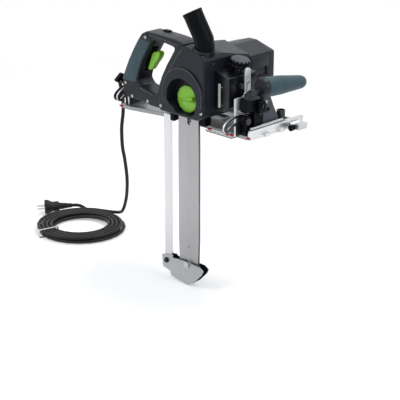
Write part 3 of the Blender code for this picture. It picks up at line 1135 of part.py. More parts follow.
def make_pivots():
    """Fixed pivot plates at the front and the rear of the saw, with their bolts and clamp levers."""
    angle = math.radians(STUD_REST_DEG)
    stud_y = SLOT_RADIUS * math.cos(angle)
    stud_z = SLOT_RADIUS * math.sin(angle)
    bore = circle((stud_y, stud_z), PIVOT_STUD_RADIUS + GAP, 14)
    outline = rounded(scaled(FRONT_PLATE_SHARES, FRONT_PLATE_SIZE), OVERRUN, 2)
    posts = [circle((BOSS_Y, z), BOSS_RADIUS / 3, 12) for z in BOSS_HEIGHTS]
    bm = plate(bmesh.new(), outline, FRONT_PLATE_X, FRONT_PLATE_X + PIVOT_PLATE, axis="X", holes=[bore, *posts])
    finish("front_pivot_plate", bm, ALUMINIUM)
    outline = rounded(scaled(REAR_PLATE_SHARES, SEGMENT_RADIUS), OVERRUN / 2, 2)
    rear = -HANDLE_REAR - GAP
    bm = plate(bmesh.new(), outline, rear - PIVOT_PLATE, rear, axis="X", holes=[bore])
    finish("rear_pivot_plate", bm, ALUMINIUM)

    front_lever_x = FRONT_PLATE_X + PIVOT_PLATE + SEGMENT_PLATE + GAP * 3
    rear_lever_x = rear - PIVOT_PLATE - GAP - SEGMENT_PLATE - GAP - REAR_BRACKET_THICKNESS - GAP
    for name, inner, outer, way in (
            ("front_pivot_bolt", FRONT_PLATE_X, front_lever_x + LEVER_THICKNESS, 1),
            ("rear_pivot_bolt", rear, rear_lever_x - LEVER_THICKNESS, -1)):
        length = abs(outer - inner) + GAP
        bm = turned(bmesh.new(), [(0, 0), (PIVOT_STUD_RADIUS, 0), (PIVOT_STUD_RADIUS, length), (NUT_RADIUS, length),
                    (NUT_RADIUS, length + NUT_HEIGHT), (0, length + NUT_HEIGHT)],
               (inner, stud_y, stud_z), (way, 0, 0), 14)
        finish(name, bm, STEEL)

    bore = circle((stud_y, stud_z), PIVOT_STUD_RADIUS + RUN_GAP, 14)
    hub = circle((stud_y, stud_z), LEVER_HUB_RADIUS, 20)
    tilt = math.radians(-BEVEL_MIN_DEG)
    tip = (SOLE_THICKNESS / math.cos(tilt) + (stud_y + LEVER_ARM_WIDTH / 2) * math.tan(tilt)
           + LEVER_CLEARANCE)
    arm = rounded([(stud_y - LEVER_ARM_WIDTH / 2, tip), (stud_y + LEVER_ARM_WIDTH / 2, tip),
                   (stud_y + LEVER_ARM_WIDTH / 2, stud_z - LEVER_HUB_RADIUS * LEVER_JOIN_SHARE),
                   (stud_y - LEVER_ARM_WIDTH / 2, stud_z - LEVER_HUB_RADIUS * LEVER_JOIN_SHARE)],
                  LEVER_ARM_WIDTH / 3, 3)
    high = front_lever_x + LEVER_THICKNESS
    lever = finish("front_lever", plate(bmesh.new(), hub, front_lever_x, high, axis="X", holes=[bore]), BLACK,
                   (front_lever_x, stud_y, stud_z))
    boolean(lever, helper("front_lever_arm", plate(bmesh.new(), arm, front_lever_x + GAP, high - GAP, axis="X")),
            "UNION")

    low = rear_lever_x - LEVER_THICKNESS
    lever = finish("rear_lever", plate(bmesh.new(), hub, low, rear_lever_x, axis="X", holes=[bore]), BLACK,
                   (rear_lever_x, stud_y, stud_z))
    along = Vector((-1, 1)).normalized()
    across = Vector((1, 1)).normalized()
    centre = Vector((stud_y, stud_z))
    foot = centre + along * LEVER_HUB_RADIUS * LEVER_JOIN_SHARE
    tip = centre + along * WING_ARM
    stem = [tuple(foot + across * WING_STEM_WIDTH / 2), tuple(tip + across * WING_STEM_WIDTH / 2),
            tuple(tip - across * WING_STEM_WIDTH / 2), tuple(foot - across * WING_STEM_WIDTH / 2)]
    wing = rounded([tuple(tip + across * WING_SPAN * reach + along * WING_STEM_WIDTH * rise)
                    for reach, rise in WING_SHARES], WING_STEM_WIDTH / 3, 2)
    middle = low + LEVER_THICKNESS / 2
    boolean(lever, helper("rear_lever_stem", plate(bmesh.new(), stem, middle - WING_THICKNESS / 3,
                                                   middle + WING_THICKNESS / 3, axis="X")), "UNION")
    boolean(lever, helper("rear_lever_wing", plate(bmesh.new(), wing, middle - WING_THICKNESS / 2,
                                                   middle + WING_THICKNESS / 2, axis="X",
                                                   edge=PIN_RADIUS / 2, side="both")), "UNION")


def make_sole():
    """The cast sole with its pockets, and the two segments that carry the bevel slots."""
    outline = rounded([(-SOLE_REAR, -SOLE_HEEL), (SOLE_HEEL_LENGTH - SOLE_REAR, -SOLE_HEEL),
                       (-SOLE_WAIST, SOLE_NEAR / 2), (SOLE_NEAR / 2 - SOLE_WAIST, SOLE_NEAR),
                       (SOLE_FRONT, SOLE_NEAR), (SOLE_FRONT, SOLE_FAR), (-SOLE_REAR, SOLE_FAR)],
                      SOLE_RIM / 2, 2)
    sole = finish("sole_plate", plate(bmesh.new(), outline, 0, SOLE_THICKNESS, axis="Z",
                                      edge=SOLE_RIB / 4, side="both"), SOLE_METAL)
    pockets = bmesh.new()
    left = SOLE_RIM - SOLE_REAR
    width = (SOLE_FRONT + SOLE_REAR - SOLE_RIM * 2 + SOLE_RIB) / POCKET_COLUMN_COUNT
    near = SEGMENT_FOOT_FAR + SOLE_RIM
    height = (SOLE_FAR - SOLE_RIM - near + SOLE_RIB) / POCKET_ROW_COUNT
    for column in range(POCKET_COLUMN_COUNT):
        for row in range(POCKET_ROW_COUNT):
            x = left + width * column
            y = near + height * row
            corners = [(x, y), (x + width - SOLE_RIB, y), (x + width - SOLE_RIB, y + height - SOLE_RIB),
                       (x, y + height - SOLE_RIB)]
            plate(pockets, rounded(corners, SOLE_RIB, 2), SOLE_FLOOR, SOLE_THICKNESS + OVERRUN, axis="Z")
    boolean(sole, helper("sole_pockets", pockets))
    rim, slot = segment_outline()
    front = FRONT_PLATE_X + PIVOT_PLATE + GAP
    rear = -HANDLE_REAR - GAP * 2 - PIVOT_PLATE
    finish("front_segment", plate(bmesh.new(), rim, front, front + SEGMENT_PLATE, axis="X", holes=[slot]),
           ALUMINIUM)
    finish("rear_segment", plate(bmesh.new(), rim, rear - SEGMENT_PLATE, rear, axis="X", holes=[slot]),
           ALUMINIUM)
    outer = rear - SEGMENT_PLATE - GAP
    finish("rear_bracket", plate(bmesh.new(), rim, outer - REAR_BRACKET_THICKNESS, outer, axis="X",
                                 holes=[slot]), BLACK)


def make_front():
    """Everything that stands on the front of the sole: bracket, buttress, beam, arm, grip and stop."""
    base = SOLE_THICKNESS + GAP
    inner = FRONT_PLATE_X + PIVOT_PLATE + SEGMENT_PLATE + GAP * 2
    outer = inner + FRONT_BRACKET_THICKNESS
    arch = rounded([(BRACKET_NEAR, BRACKET_ARCH), (BRACKET_LEG, BRACKET_ARCH), (BRACKET_LEG, base),
                    (BRACKET_FAR, base), (BRACKET_FAR, BRACKET_TOP), (BRACKET_NEAR, BRACKET_TOP)],
                   OVERRUN / 2, 2)
    finish("front_bracket", plate(bmesh.new(), arch, inner, outer, axis="X", edge=GAP * 4, side="high"), BLACK)
    outline = rounded(scaled(BUTTRESS_SHARES, BUTTRESS_FAR), OVERRUN, 2)
    hole = circle((BUTTRESS_BOSS_Y, BUTTRESS_BOSS_Z), BUTTRESS_HOLE_RADIUS, 14)
    bm = plate(bmesh.new(), outline, inner, outer - BRACKET_SPACING, axis="X", holes=[hole], edge=GAP * 4,
               side="high")
    finish("buttress", bm, GREY)
    finish("stop_sleeve", ring(bmesh.new(), (SLEEVE_X, SLEEVE_Y, base), (0, 0, 1), SLEEVE_RADIUS, SLEEVE_BORE,
                               SLEEVE_TOP - base, 20), STEEL)

    beam_x = SOLE_FRONT + GAP
    bm = block(bmesh.new(), (beam_x, SOLE_NEAR, GAP), (beam_x + BEAM_THICKNESS, SOLE_FAR, BEAM_HEIGHT))
    finish("front_beam", bm, ALUMINIUM)
    bm = drum(bmesh.new(), (beam_x + BEAM_THICKNESS / 2, SOLE_NEAR + ROD_RADIUS,
                            BEAM_HEIGHT + GAP + ROD_RADIUS), (0, 1, 0), ROD_RADIUS, ROD_LENGTH, 14)
    finish("fence_rod", bm, STEEL)

    sections = []
    for x, y, z, tilt_deg, half_share in ARM_SHARES:
        centre = Vector((x, y, z)) * GRIP_X
        tilt = math.radians(tilt_deg)
        first = Vector((math.cos(tilt), -math.sin(tilt), 0)) * ARM_HALF_X * half_share
        second = Vector((math.sin(tilt), math.cos(tilt), 0)) * ARM_HALF_Y * half_share
        sections.append((centre, first, second))
    sections[0][0].z = BRACKET_TOP + GAP
    arm = finish("handle_arm", loft(bmesh.new(), sections, 20, ARM_CORNER_SHARE), ANTHRACITE)
    axis = Vector((GRIP_END_X - GRIP_X, GRIP_LENGTH, GRIP_END_Z - GRIP_Z)).normalized()
    start = Vector((GRIP_X, GRIP_Y, GRIP_Z))
    collar = turned(bmesh.new(), [(0, -COLLAR_LENGTH), (COLLAR_RADIUS * COLLAR_FOOT_SHARE, -COLLAR_LENGTH),
                                  (COLLAR_RADIUS, -COLLAR_LENGTH / 2), (COLLAR_RADIUS, 0), (0, 0)],
                    start, axis, 24)
    boolean(arm, helper("arm_collar", collar), "UNION")
    profile = [(0, GAP)] + [(GRIP_RADIUS * reach, GAP + GRIP_LENGTH * along) for reach, along in GRIP_SHARES]
    profile.append((0, profile[-1][1]))
    finish("front_grip", turned(bmesh.new(), profile, start, axis, 24), SOFT_GRIP)

    bm = plate(bmesh.new(), rounded([(GUARD_REAR, -GUARD_NEAR), (GUARD_FRONT, -GUARD_NEAR),
                                     (GUARD_FRONT, SOLE_NEAR - GAP), (GUARD_REAR, SOLE_NEAR - GAP)],
                                    GUARD_THICKNESS, 2), GAP, GAP + GUARD_THICKNESS, axis="Z")
    finish("splinter_guard", bm, CLEAR)
    face = beam_x + BEAM_THICKNESS + GAP
    bm = plate(bmesh.new(), [(face, JAW_BOTTOM), (face + JAW_LENGTH, JAW_BOTTOM),
                             (face + JAW_LENGTH, JAW_TOP), (face + JAW_LENGTH - JAW_LIP, JAW_TOP),
                             (face + JAW_LIP, JAW_TOP - JAW_LIP / 2), (face, JAW_TOP)],
               JAW_Y - JAW_HALF_WIDTH, JAW_Y + JAW_HALF_WIDTH, holes=[
                   circle((face + JAW_LENGTH / 2, (JAW_TOP + JAW_BOTTOM - JAW_LIP / 2) / 2),
                          JAW_SPINDLE_RADIUS + RUN_GAP, 12)])
    finish("guide_jaw", bm, ALUMINIUM, (face, JAW_Y, JAW_BOTTOM))
    spindle = Vector((face + JAW_LENGTH / 2, JAW_Y - JAW_HALF_WIDTH - JAW_TRAVEL - GAP,
                      (JAW_TOP + JAW_BOTTOM - JAW_LIP / 2) / 2))
    bm = turned(bmesh.new(), [(0, -JAW_KNOB_LENGTH), (JAW_KNOB_RADIUS, -JAW_KNOB_LENGTH), (JAW_KNOB_RADIUS, 0),
                              (JAW_SPINDLE_RADIUS, 0), (JAW_SPINDLE_RADIUS, JAW_HALF_WIDTH * 2),
                              (0, JAW_HALF_WIDTH * 2)], spindle, (0, 1, 0), 12)
    finish("jaw_knob", bm, BLACK, spindle)


def smooth_route(points, count):
    """A smooth curve through the route points, as evenly spaced points along it."""
    dense = []
    padded = [points[0] * 2 - points[1], *points, points[-1] * 2 - points[-2]]
    for index in range(1, len(padded) - 2):
        before, here, after, beyond = padded[index - 1:index + 3]
        for step in range(ROUTE_STEP_COUNT):
            share = step / ROUTE_STEP_COUNT
            dense.append((here * 2 + (after - before) * share
                          + (before * 2 - here * 5 + after * 4 - beyond) * share ** 2
                          + (here * 3 - before - after * 3 + beyond) * share ** 3) / 2)
    dense.append(points[-1])
    lengths = [0.0]
    for first, second in zip(dense, dense[1:]):
        lengths.append(lengths[-1] + (second - first).length)
    result = []
    place_at = 0
    for index in range(count + 1):
        wanted = lengths[-1] * index / count
        while place_at < len(dense) - 2 and lengths[place_at + 1] < wanted:
            place_at += 1
        span = lengths[place_at + 1] - lengths[place_at]
        result.append(dense[place_at].lerp(dense[place_at + 1], (wanted - lengths[place_at]) / span))
    return result


def tube(name, points, resolution):
    """A round cord through the points, closed at both ends."""
    curve = bpy.data.curves.new(name, "CURVE")
    curve.dimensions = "3D"
    curve.bevel_depth = CORD_RADIUS
    curve.bevel_resolution = resolution
    curve.use_fill_caps = True
    spline = curve.splines.new("POLY")
    spline.points.add(len(points) - 1)
    for corner, point in zip(spline.points, points):
        corner.co = (*point, 1.0)
    curve.materials.append(RUBBER)
    made = bpy.data.objects.new(name, curve)
    made.parent = datum
    bpy.context.scene.collection.objects.link(made)


def coil_point(angle_deg, radius, level):
    """A point of the coil; the angle runs anticlockwise from the line across the view."""
    heading = math.radians(COIL_HEADING_DEG)
    across = Vector((math.cos(heading), math.sin(heading), 0))
    deep = Vector((-math.sin(heading), math.cos(heading), 0))
    angle = math.radians(angle_deg)
    return (Vector((COIL_X, COIL_Y, level)) + across * radius * math.cos(angle)
            + deep * radius * math.sin(angle) * COIL_DEPTH_SHARE)


def make_cord():
    """The strain relief, the hanging part of the cord, the coil on the floor, its tie and the plug."""
    rear = -HANDLE_REAR - GAP
    bm = turned(bmesh.new(), [(0, 0), (GLAND_RADIUS, 0), (GLAND_RADIUS, GLAND_LENGTH / 3),
                              (CORD_RADIUS * GLAND_END_SHARE, GLAND_LENGTH), (0, GLAND_LENGTH)],
                (rear, GLAND_Y, GLAND_Z), (-1, 0, 0), 18)
    finish("strain_relief", bm, BLACK)

    low = FLOOR + TIE_THICKNESS + GAP + CORD_RADIUS
    high = low + COIL_LAYER_PITCH
    sweep = 360.0 * COIL_WHOLE_TURNS_COUNT + COIL_END_DEG - COIL_START_DEG
    layer = (sweep - 180.0) / 2
    steps = round(sweep / 360.0 * COIL_POINTS_PER_TURN_COUNT)
    points = []
    for index in range(steps + 1):
        turned_deg = sweep * index / steps
        wound = min(turned_deg, layer, sweep - turned_deg)
        drop = min(max((turned_deg - layer) / 180.0, 0.0), 1.0)
        dip = COIL_PITCH * COIL_DIP_SHARE * math.sin(math.pi * drop) ** 2
        drop = drop * drop * (3 - 2 * drop)
        points.append(coil_point(COIL_START_DEG + turned_deg, COIL_OUTER - COIL_PITCH * wound / 360.0 - dip,
                                 high + (low - high) * drop))
    least = min((points[i] - points[j]).length for i in range(len(points))
                for j in range(i + COIL_POINTS_PER_TURN_COUNT // 2, len(points)))
    print("least gap between the loops of the coil, mm:", round((least - CORD_RADIUS * 2) * 1000, 2))
    arriving = (points[1] - points[0]).normalized()
    points[0:0] = [points[0] - arriving * CORD_RADIUS * 2]

    centre = Vector((COIL_X, COIL_Y, 0))
    heading = math.radians(COIL_HEADING_DEG)
    across = Vector((math.cos(heading), math.sin(heading), 0))
    deep = Vector((-math.sin(heading), math.cos(heading), 0))
    plug_start = centre + across * PLUG_ACROSS + deep * PLUG_DEEP
    plug_start.z = FLOOR + PLUG_RADIUS + GAP
    plug_way = (across * -math.cos(math.radians(PLUG_TURN_DEG)) - deep * math.sin(math.radians(PLUG_TURN_DEG)))
    leaving = points[-1]
    way = (points[-1] - points[-2]).normalized()
    reach = (plug_start - leaving).length
    end = plug_start - plug_way * (CORD_RADIUS * 2 + GAP)
    for step in range(1, COIL_TAIL_STEP_COUNT + 1):
        share = step / COIL_TAIL_STEP_COUNT
        first = leaving * (1 - share) ** 3 + (leaving + way * reach / 3) * 3 * share * (1 - share) ** 2
        last = (end - plug_way * reach / 3) * 3 * share ** 2 * (1 - share) + end * share ** 3
        points.append(first + last)
    points.append(plug_start - plug_way * GAP)
    tube("cord_coil", points, 1)
    length = sum((b - a).length for a, b in zip(points, points[1:]))

    start = Vector((rear - GLAND_LENGTH - GAP, GLAND_Y, GLAND_Z))
    finish_point = points[0] - arriving * GAP
    route = [start, start - Vector((CORD_RADIUS * 2, 0, 0))]
    route += [Vector(point) * ROUTE_SIZE for point in ROUTE_SHARES]
    route += [finish_point - arriving * CORD_RADIUS * 2, finish_point]
    drop_points = [route[0]] + smooth_route(route[1:-1], ROUTE_POINT_COUNT) + [route[-1]]
    tube("cord_drop", drop_points, 2)
    length += sum((b - a).length for a, b in zip(drop_points, drop_points[1:]))
    print("length of the cord, m:", round(length, 2))

    inner = coil_point(TIE_DEG, COIL_OUTER - COIL_PITCH * layer / 360.0 - CORD_RADIUS - TIE_CLEARANCE, 0)
    outer = coil_point(TIE_DEG, COIL_OUTER + CORD_RADIUS + TIE_CLEARANCE, 0)
    radial = (outer - inner).normalized()
    sideways = Vector((-radial.y, radial.x, 0)) * TIE_WIDTH / 2
    bottom = FLOOR + TIE_THICKNESS
    top = high + CORD_RADIUS + GAP
    bm = bmesh.new()
    rings = []
    for grow in (0.0, TIE_THICKNESS):
        corners = [(inner - radial * grow, bottom - grow), (outer + radial * grow, bottom - grow),
                   (outer + radial * grow, top + grow), (inner - radial * grow, top + grow)]
        for side in (-1, 1):
            rings.append([bm.verts.new(Vector((flat.x, flat.y, level)) + sideways * side)
                          for flat, level in corners])
    for first, second in ((0, 1), (1, 3), (3, 2), (2, 0)):
        join(bm, rings[first], rings[second])
    finish("coil_tie", bm, BLACK)

    bm = turned(bmesh.new(), [(0, 0), (CORD_RADIUS * GLAND_END_SHARE, 0), (PLUG_RADIUS / 2, PLUG_SLEEVE),
                              (PLUG_RADIUS * PLUG_SHOULDER_SHARE, PLUG_SLEEVE + CORD_RADIUS),
                              (PLUG_RADIUS, PLUG_SLEEVE + CORD_RADIUS * 2),
                              (PLUG_RADIUS, PLUG_SLEEVE + PLUG_LENGTH), (0, PLUG_SLEEVE + PLUG_LENGTH)],
                plug_start, plug_way, 24)
    plug = finish("plug", bm, BLACK, plug_start)
    aside = plug_way.cross(Vector((0, 0, 1))) * PIN_SPACING / 2
    bm = bmesh.new()
    for side in (-1, 1):
        drum(bm, plug_start + plug_way * (PLUG_SLEEVE + PLUG_LENGTH / 2) + aside * side, plug_way,
             PIN_RADIUS, PIN_LENGTH + PLUG_LENGTH / 2, 12)
    boolean(plug, helper("plug_pins", bm), "UNION")


make_sprocket_cover()
make_gear_housing()
make_knob()
make_sprocket_train()
make_rotor()
make_bearings()
make_gearbox_plate()
make_motor()
make_spout()
make_oil_tank()
make_handle()
make_bar_and_rail()
make_pivots()
make_sole()
make_front()
make_cord()
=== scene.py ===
# %% [markdown]
# # A carpentry chain saw, dressed for its portrait
# The saw's solids are already modelled at real size. This lesson loads them as a fixed frame,
# sets the camera at the photograph's angle, and then gives every surface its finish and its
# small details: cord, plug, screws, scales, grips, the bar's groove.

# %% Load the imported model
import math
import json

import bmesh
import bpy
from mathutils import Matrix, Vector

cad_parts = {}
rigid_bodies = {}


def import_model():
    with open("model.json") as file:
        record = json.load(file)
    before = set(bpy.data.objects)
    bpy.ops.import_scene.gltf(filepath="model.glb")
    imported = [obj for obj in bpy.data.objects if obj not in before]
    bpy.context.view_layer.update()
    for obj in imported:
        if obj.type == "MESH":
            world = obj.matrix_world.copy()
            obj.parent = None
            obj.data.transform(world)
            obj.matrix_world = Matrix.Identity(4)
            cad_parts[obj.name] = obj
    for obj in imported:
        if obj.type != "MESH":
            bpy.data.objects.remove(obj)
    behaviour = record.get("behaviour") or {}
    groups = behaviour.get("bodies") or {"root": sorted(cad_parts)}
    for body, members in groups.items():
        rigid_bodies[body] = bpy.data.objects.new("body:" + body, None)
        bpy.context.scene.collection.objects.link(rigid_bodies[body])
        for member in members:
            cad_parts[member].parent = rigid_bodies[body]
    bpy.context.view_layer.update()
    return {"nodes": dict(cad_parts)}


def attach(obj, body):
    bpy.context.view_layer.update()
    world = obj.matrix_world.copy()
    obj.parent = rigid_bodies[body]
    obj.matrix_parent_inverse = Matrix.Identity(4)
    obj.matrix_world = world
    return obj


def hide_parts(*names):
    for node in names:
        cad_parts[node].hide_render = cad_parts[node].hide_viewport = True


for old in list(bpy.data.objects):
    bpy.data.objects.remove(old, do_unlink=True)
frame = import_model()
nodes = frame["nodes"]
print("CAD nodes:", len(nodes))

# %% [markdown]
# ## One datum for everything
# The saw was drawn from its own datum: X runs along the cut, Y from the cover to the motor, Z up,
# with zero on the cutting plane and the underside of the sole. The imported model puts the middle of
# the rear grip at the world's origin, so every place below is written from the saw's datum and
# moved once by this offset.

# %% The datum and a helper to place points
DATUM = Vector((0.118, 0.005, -0.118))
FLOOR_DROP = 0.342
HEAD = "saw_head"
BASE = "base"


def at(x, y, z):
    """A point written from the saw's datum, as a world point."""
    return Vector((x, y, z)) + DATUM


floor_level = at(0, 0, -FLOOR_DROP).z
print("floor level:", round(floor_level, 4))

# %% [markdown]
# ## Camera
# The photograph was taken from the front right and from above, with a long lens, so the bar's sides
# stay almost parallel. The camera below has that heading and height. It uses no lens shift: the saw
# gets its place in the picture by aiming the camera alone.

# %% Camera
CAMERA_PLACE = (1.6613, -1.6278, 0.7328)
CAMERA_HEADING_DEG = 45.08
CAMERA_DROP_DEG = 20.93
CAMERA_ROLL_DEG = -0.05
CAMERA_LENS = 111.05
SENSOR = 36.0

camera_data = bpy.data.cameras.new("camera")
camera_data.lens = CAMERA_LENS
camera_data.sensor_width = SENSOR
camera_data.clip_end = 20.0
camera = bpy.data.objects.new("camera", camera_data)
camera.location = at(*CAMERA_PLACE)
camera.rotation_euler = (math.radians(90.0 - CAMERA_DROP_DEG), math.radians(CAMERA_ROLL_DEG),
                         math.radians(CAMERA_HEADING_DEG))
bpy.context.scene.collection.objects.link(camera)
bpy.context.scene.camera = camera
print("camera at", [round(value, 3) for value in camera.location])

# %% [markdown]
# ## The mains cord
# A rubber cord is a fixed length of something limp. It leaves the handle through a bend relief,
# hangs down behind the saw, meets the floor and is wound into a flat two-layer coil, four and a half
# metres in all. The hanging part is a short list of given points; the coil comes from a
# formula: the radius shrinks one pitch per turn, then grows again in the layer below.

# %% Sizes of the cord
CORD_RADIUS = 0.0039
HANDLE_REAR = 0.167
CLEARANCE = 0.0003
RELIEF_HEIGHT = 0.060
RELIEF_SIDE = 0.005
RELIEF_LENGTH = 0.036
COIL_CENTRE = (-0.387, 0.031)
COIL_OUTER = 0.1004
COIL_PITCH = 0.0094
COIL_LAYER_PITCH = 0.0084
COIL_DEPTH_SHARE = 0.92
COIL_DIP_SHARE = 0.25
COIL_START_DEG = 64.0
COIL_END_DEG = 80.0
COIL_TURNS = 8
COIL_HEADING_DEG = 41.54
POINTS_PER_TURN = 24
FULL_TURN_DEG = 360.0
HALF_TURN_DEG = 180.0
CORD_SIDES = 4
HANGING_PIECES = 60
TAIL_PIECES = 8
TIE_THICKNESS = 0.0012
PLUG_RADIUS = 0.017
PLUG_ACROSS = -0.038
PLUG_DEEP = 0.106
PLUG_TURN_DEG = 14.0
HANGING_POINTS = [(-0.2228, 0.0149, 0.0460), (-0.2296, 0.0286, 0.0046), (-0.2326, 0.0313, -0.0287),
                  (-0.2385, 0.0314, -0.0654), (-0.2455, 0.0386, -0.1105), (-0.2499, 0.0481, -0.1418),
                  (-0.2611, 0.0635, -0.1923), (-0.2763, 0.0754, -0.2347), (-0.2991, 0.0905, -0.2678),
                  (-0.3300, 0.1105, -0.2985), (-0.3646, 0.1310, -0.3211)]

heading = math.radians(COIL_HEADING_DEG)
across_view = Vector((math.cos(heading), math.sin(heading), 0))
into_view = Vector((-math.sin(heading), math.cos(heading), 0))
print("turns of the coil:", COIL_TURNS, "outer radius:", COIL_OUTER)


# %% The route of the coil
def coil_route():
    """Points of the two-layer coil, from the top layer's outside in and the bottom layer's out."""
    low = -FLOOR_DROP + TIE_THICKNESS + CLEARANCE + CORD_RADIUS
    high = low + COIL_LAYER_PITCH
    sweep = FULL_TURN_DEG * COIL_TURNS + COIL_END_DEG - COIL_START_DEG
    layer = (sweep - HALF_TURN_DEG) / 2
    steps = round(sweep / FULL_TURN_DEG * POINTS_PER_TURN)
    points = []
    for index in range(steps + 1):
        turned = sweep * index / steps
        wound = min(turned, layer, sweep - turned)
        drop = min(max((turned - layer) / HALF_TURN_DEG, 0.0), 1.0)
        dip = COIL_PITCH * COIL_DIP_SHARE * math.sin(math.pi * drop) ** 2
        drop = drop * drop * (3 - 2 * drop)
        radius = COIL_OUTER - COIL_PITCH * wound / FULL_TURN_DEG - dip
        angle = math.radians(COIL_START_DEG + turned)
        point = Vector((*COIL_CENTRE, high + (low - high) * drop))
        point += across_view * radius * math.cos(angle)
        point += into_view * radius * math.sin(angle) * COIL_DEPTH_SHARE
        points.append(point)
    return points


coil = coil_route()
print("points of the coil:", len(coil))

# %% A smooth curve through a few points
EASING_STEPS = 12


def eased(points, count):
    """A smooth curve through given points, as evenly spaced points along it."""
    dense = []
    ends = [points[0] * 2 - points[1], *points, points[-1] * 2 - points[-2]]
    for index in range(1, len(ends) - 2):
        before, here, after, beyond = ends[index - 1:index + 3]
        for step in range(EASING_STEPS):
            share = step / EASING_STEPS
            dense.append((here * 2 + (after - before) * share
                          + (before * 2 - here * 5 + after * 4 - beyond) * share ** 2
                          + (here * 3 - before - after * 3 + beyond) * share ** 3) / 2)
    dense.append(points[-1])
    lengths = [0.0]
    for first, second in zip(dense, dense[1:]):
        lengths.append(lengths[-1] + (second - first).length)
    result = []
    reached = 0
    for index in range(count + 1):
        wanted = lengths[-1] * index / count
        while reached < len(dense) - 2 and lengths[reached + 1] < wanted:
            reached += 1
        span = lengths[reached + 1] - lengths[reached]
        result.append(dense[reached].lerp(dense[reached + 1], (wanted - lengths[reached]) / span))
    return result


sample = eased([Vector(point) for point in HANGING_POINTS], HANGING_PIECES)
print(len(HANGING_POINTS), "points by hand become", len(sample))

# %% The whole route
arriving = (coil[1] - coil[0]).normalized()
coil_entry = coil[0] - arriving * (CORD_RADIUS * 2 + CLEARANCE)
relief_end = Vector((-HANDLE_REAR - RELIEF_LENGTH - CLEARANCE * 2, RELIEF_SIDE, RELIEF_HEIGHT))
hanging = [relief_end, relief_end - Vector((CORD_RADIUS * 2, 0, 0))]
hanging += [Vector(point) for point in HANGING_POINTS]
hanging += [coil_entry - arriving * CORD_RADIUS * 2, coil_entry]
hanging = [hanging[0]] + eased(hanging[1:], HANGING_PIECES)

plug_way = (-across_view * math.cos(math.radians(PLUG_TURN_DEG))
            - into_view * math.sin(math.radians(PLUG_TURN_DEG)))
plug_start = Vector((*COIL_CENTRE, -FLOOR_DROP + PLUG_RADIUS + CLEARANCE))
plug_start += across_view * PLUG_ACROSS + into_view * PLUG_DEEP
tail = []
leaving = coil[-1]
leaving_way = (coil[-1] - coil[-2]).normalized()
tail_end = plug_start - plug_way * (CORD_RADIUS * 2 + CLEARANCE)
reach = (plug_start - leaving).length
leaving_pull = leaving + leaving_way * reach / 3
ending_pull = tail_end - plug_way * reach / 3
for step in range(1, TAIL_PIECES + 1):
    share = step / TAIL_PIECES
    rest = 1 - share
    tail.append(leaving * rest ** 3 + leaving_pull * 3 * share * rest ** 2
                + ending_pull * 3 * share ** 2 * rest + tail_end * share ** 3)
cord_route = hanging + coil + tail + [plug_start + plug_way * CORD_RADIUS]


# %% The cord itself
def round_cord(name, points, radius, sides):
    """A round tube that follows the points, closed at both ends, as one open spline."""
    curve = bpy.data.curves.new(name, "CURVE")
    curve.dimensions = "3D"
    curve.bevel_depth = 1.0  # the points carry the radius, so that the curve's bounds stay true
    curve.bevel_resolution = sides
    curve.use_fill_caps = True
    spline = curve.splines.new("POLY")
    spline.points.add(len(points) - 1)
    for corner, point in zip(spline.points, points):
        corner.co = (*(point + DATUM), 1.0)
        corner.radius = radius
    made = bpy.data.objects.new(name, curve)
    bpy.context.scene.collection.objects.link(made)
    return made


mains_cord = round_cord("mains_cord", cord_route, CORD_RADIUS, CORD_SIDES)
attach(mains_cord, HEAD)
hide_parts("cord_drop", "cord_coil")
print("cord drawn through", len(mains_cord.data.splines[0].points), "points")

# %% [markdown]
# ## Finishes
# Nearly everything on the saw is glass-filled nylon with a fine spark-eroded grain. The helpers
# below build that grain from noise on object coordinates, so it stays at real size (the saw is
# modelled in metres) and never slides when the camera moves. A slow second noise varies the colour
# and the gloss a little, the way a moulding does where it was handled.

# %% Helpers for node materials
NOISE_LOW = 0.3
NOISE_HIGH = 0.7


def new_material(name, colour, roughness, metallic=0.0):
    """A Principled material and its node tree."""
    made = bpy.data.materials.new(name)
    made.use_nodes = True
    tree = made.node_tree
    shader = tree.nodes["Principled BSDF"]
    shader.inputs["Base Color"].default_value = (*colour, 1.0)
    shader.inputs["Roughness"].default_value = roughness
    shader.inputs["Metallic"].default_value = metallic
    return made, tree, shader


def object_noise(tree, size, detail=3.0, stretch=(1.0, 1.0, 1.0)):
    """Noise whose cells are about size metres across; stretch pulls it along an axis."""
    place = tree.nodes.new("ShaderNodeTexCoord")
    mapping = tree.nodes.new("ShaderNodeMapping")
    mapping.inputs["Scale"].default_value = [1.0 / (size * pull) for pull in stretch]
    tree.links.new(place.outputs["Object"], mapping.inputs["Vector"])
    noise = tree.nodes.new("ShaderNodeTexNoise")
    noise.inputs["Scale"].default_value = 1.0
    noise.inputs["Detail"].default_value = detail
    tree.links.new(mapping.outputs["Vector"], noise.inputs["Vector"])
    return noise


def spread(tree, source, low, high):
    """The source's middle range mapped to low..high."""
    ranged = tree.nodes.new("ShaderNodeMapRange")
    ranged.inputs["From Min"].default_value = NOISE_LOW
    ranged.inputs["From Max"].default_value = NOISE_HIGH
    ranged.inputs["To Min"].default_value = low
    ranged.inputs["To Max"].default_value = high
    tree.links.new(source, ranged.inputs["Value"])
    return ranged.outputs["Result"]


def shaded(tree, source, dark, pale):
    """A colour between dark and pale, led by the source's middle range."""
    ramp = tree.nodes.new("ShaderNodeValToRGB")
    ramp.color_ramp.elements[0].position = NOISE_LOW
    ramp.color_ramp.elements[1].position = NOISE_HIGH
    ramp.color_ramp.elements[0].color = (*dark, 1.0)
    ramp.color_ramp.elements[1].color = (*pale, 1.0)
    tree.links.new(source, ramp.inputs["Fac"])
    return ramp.outputs["Color"]


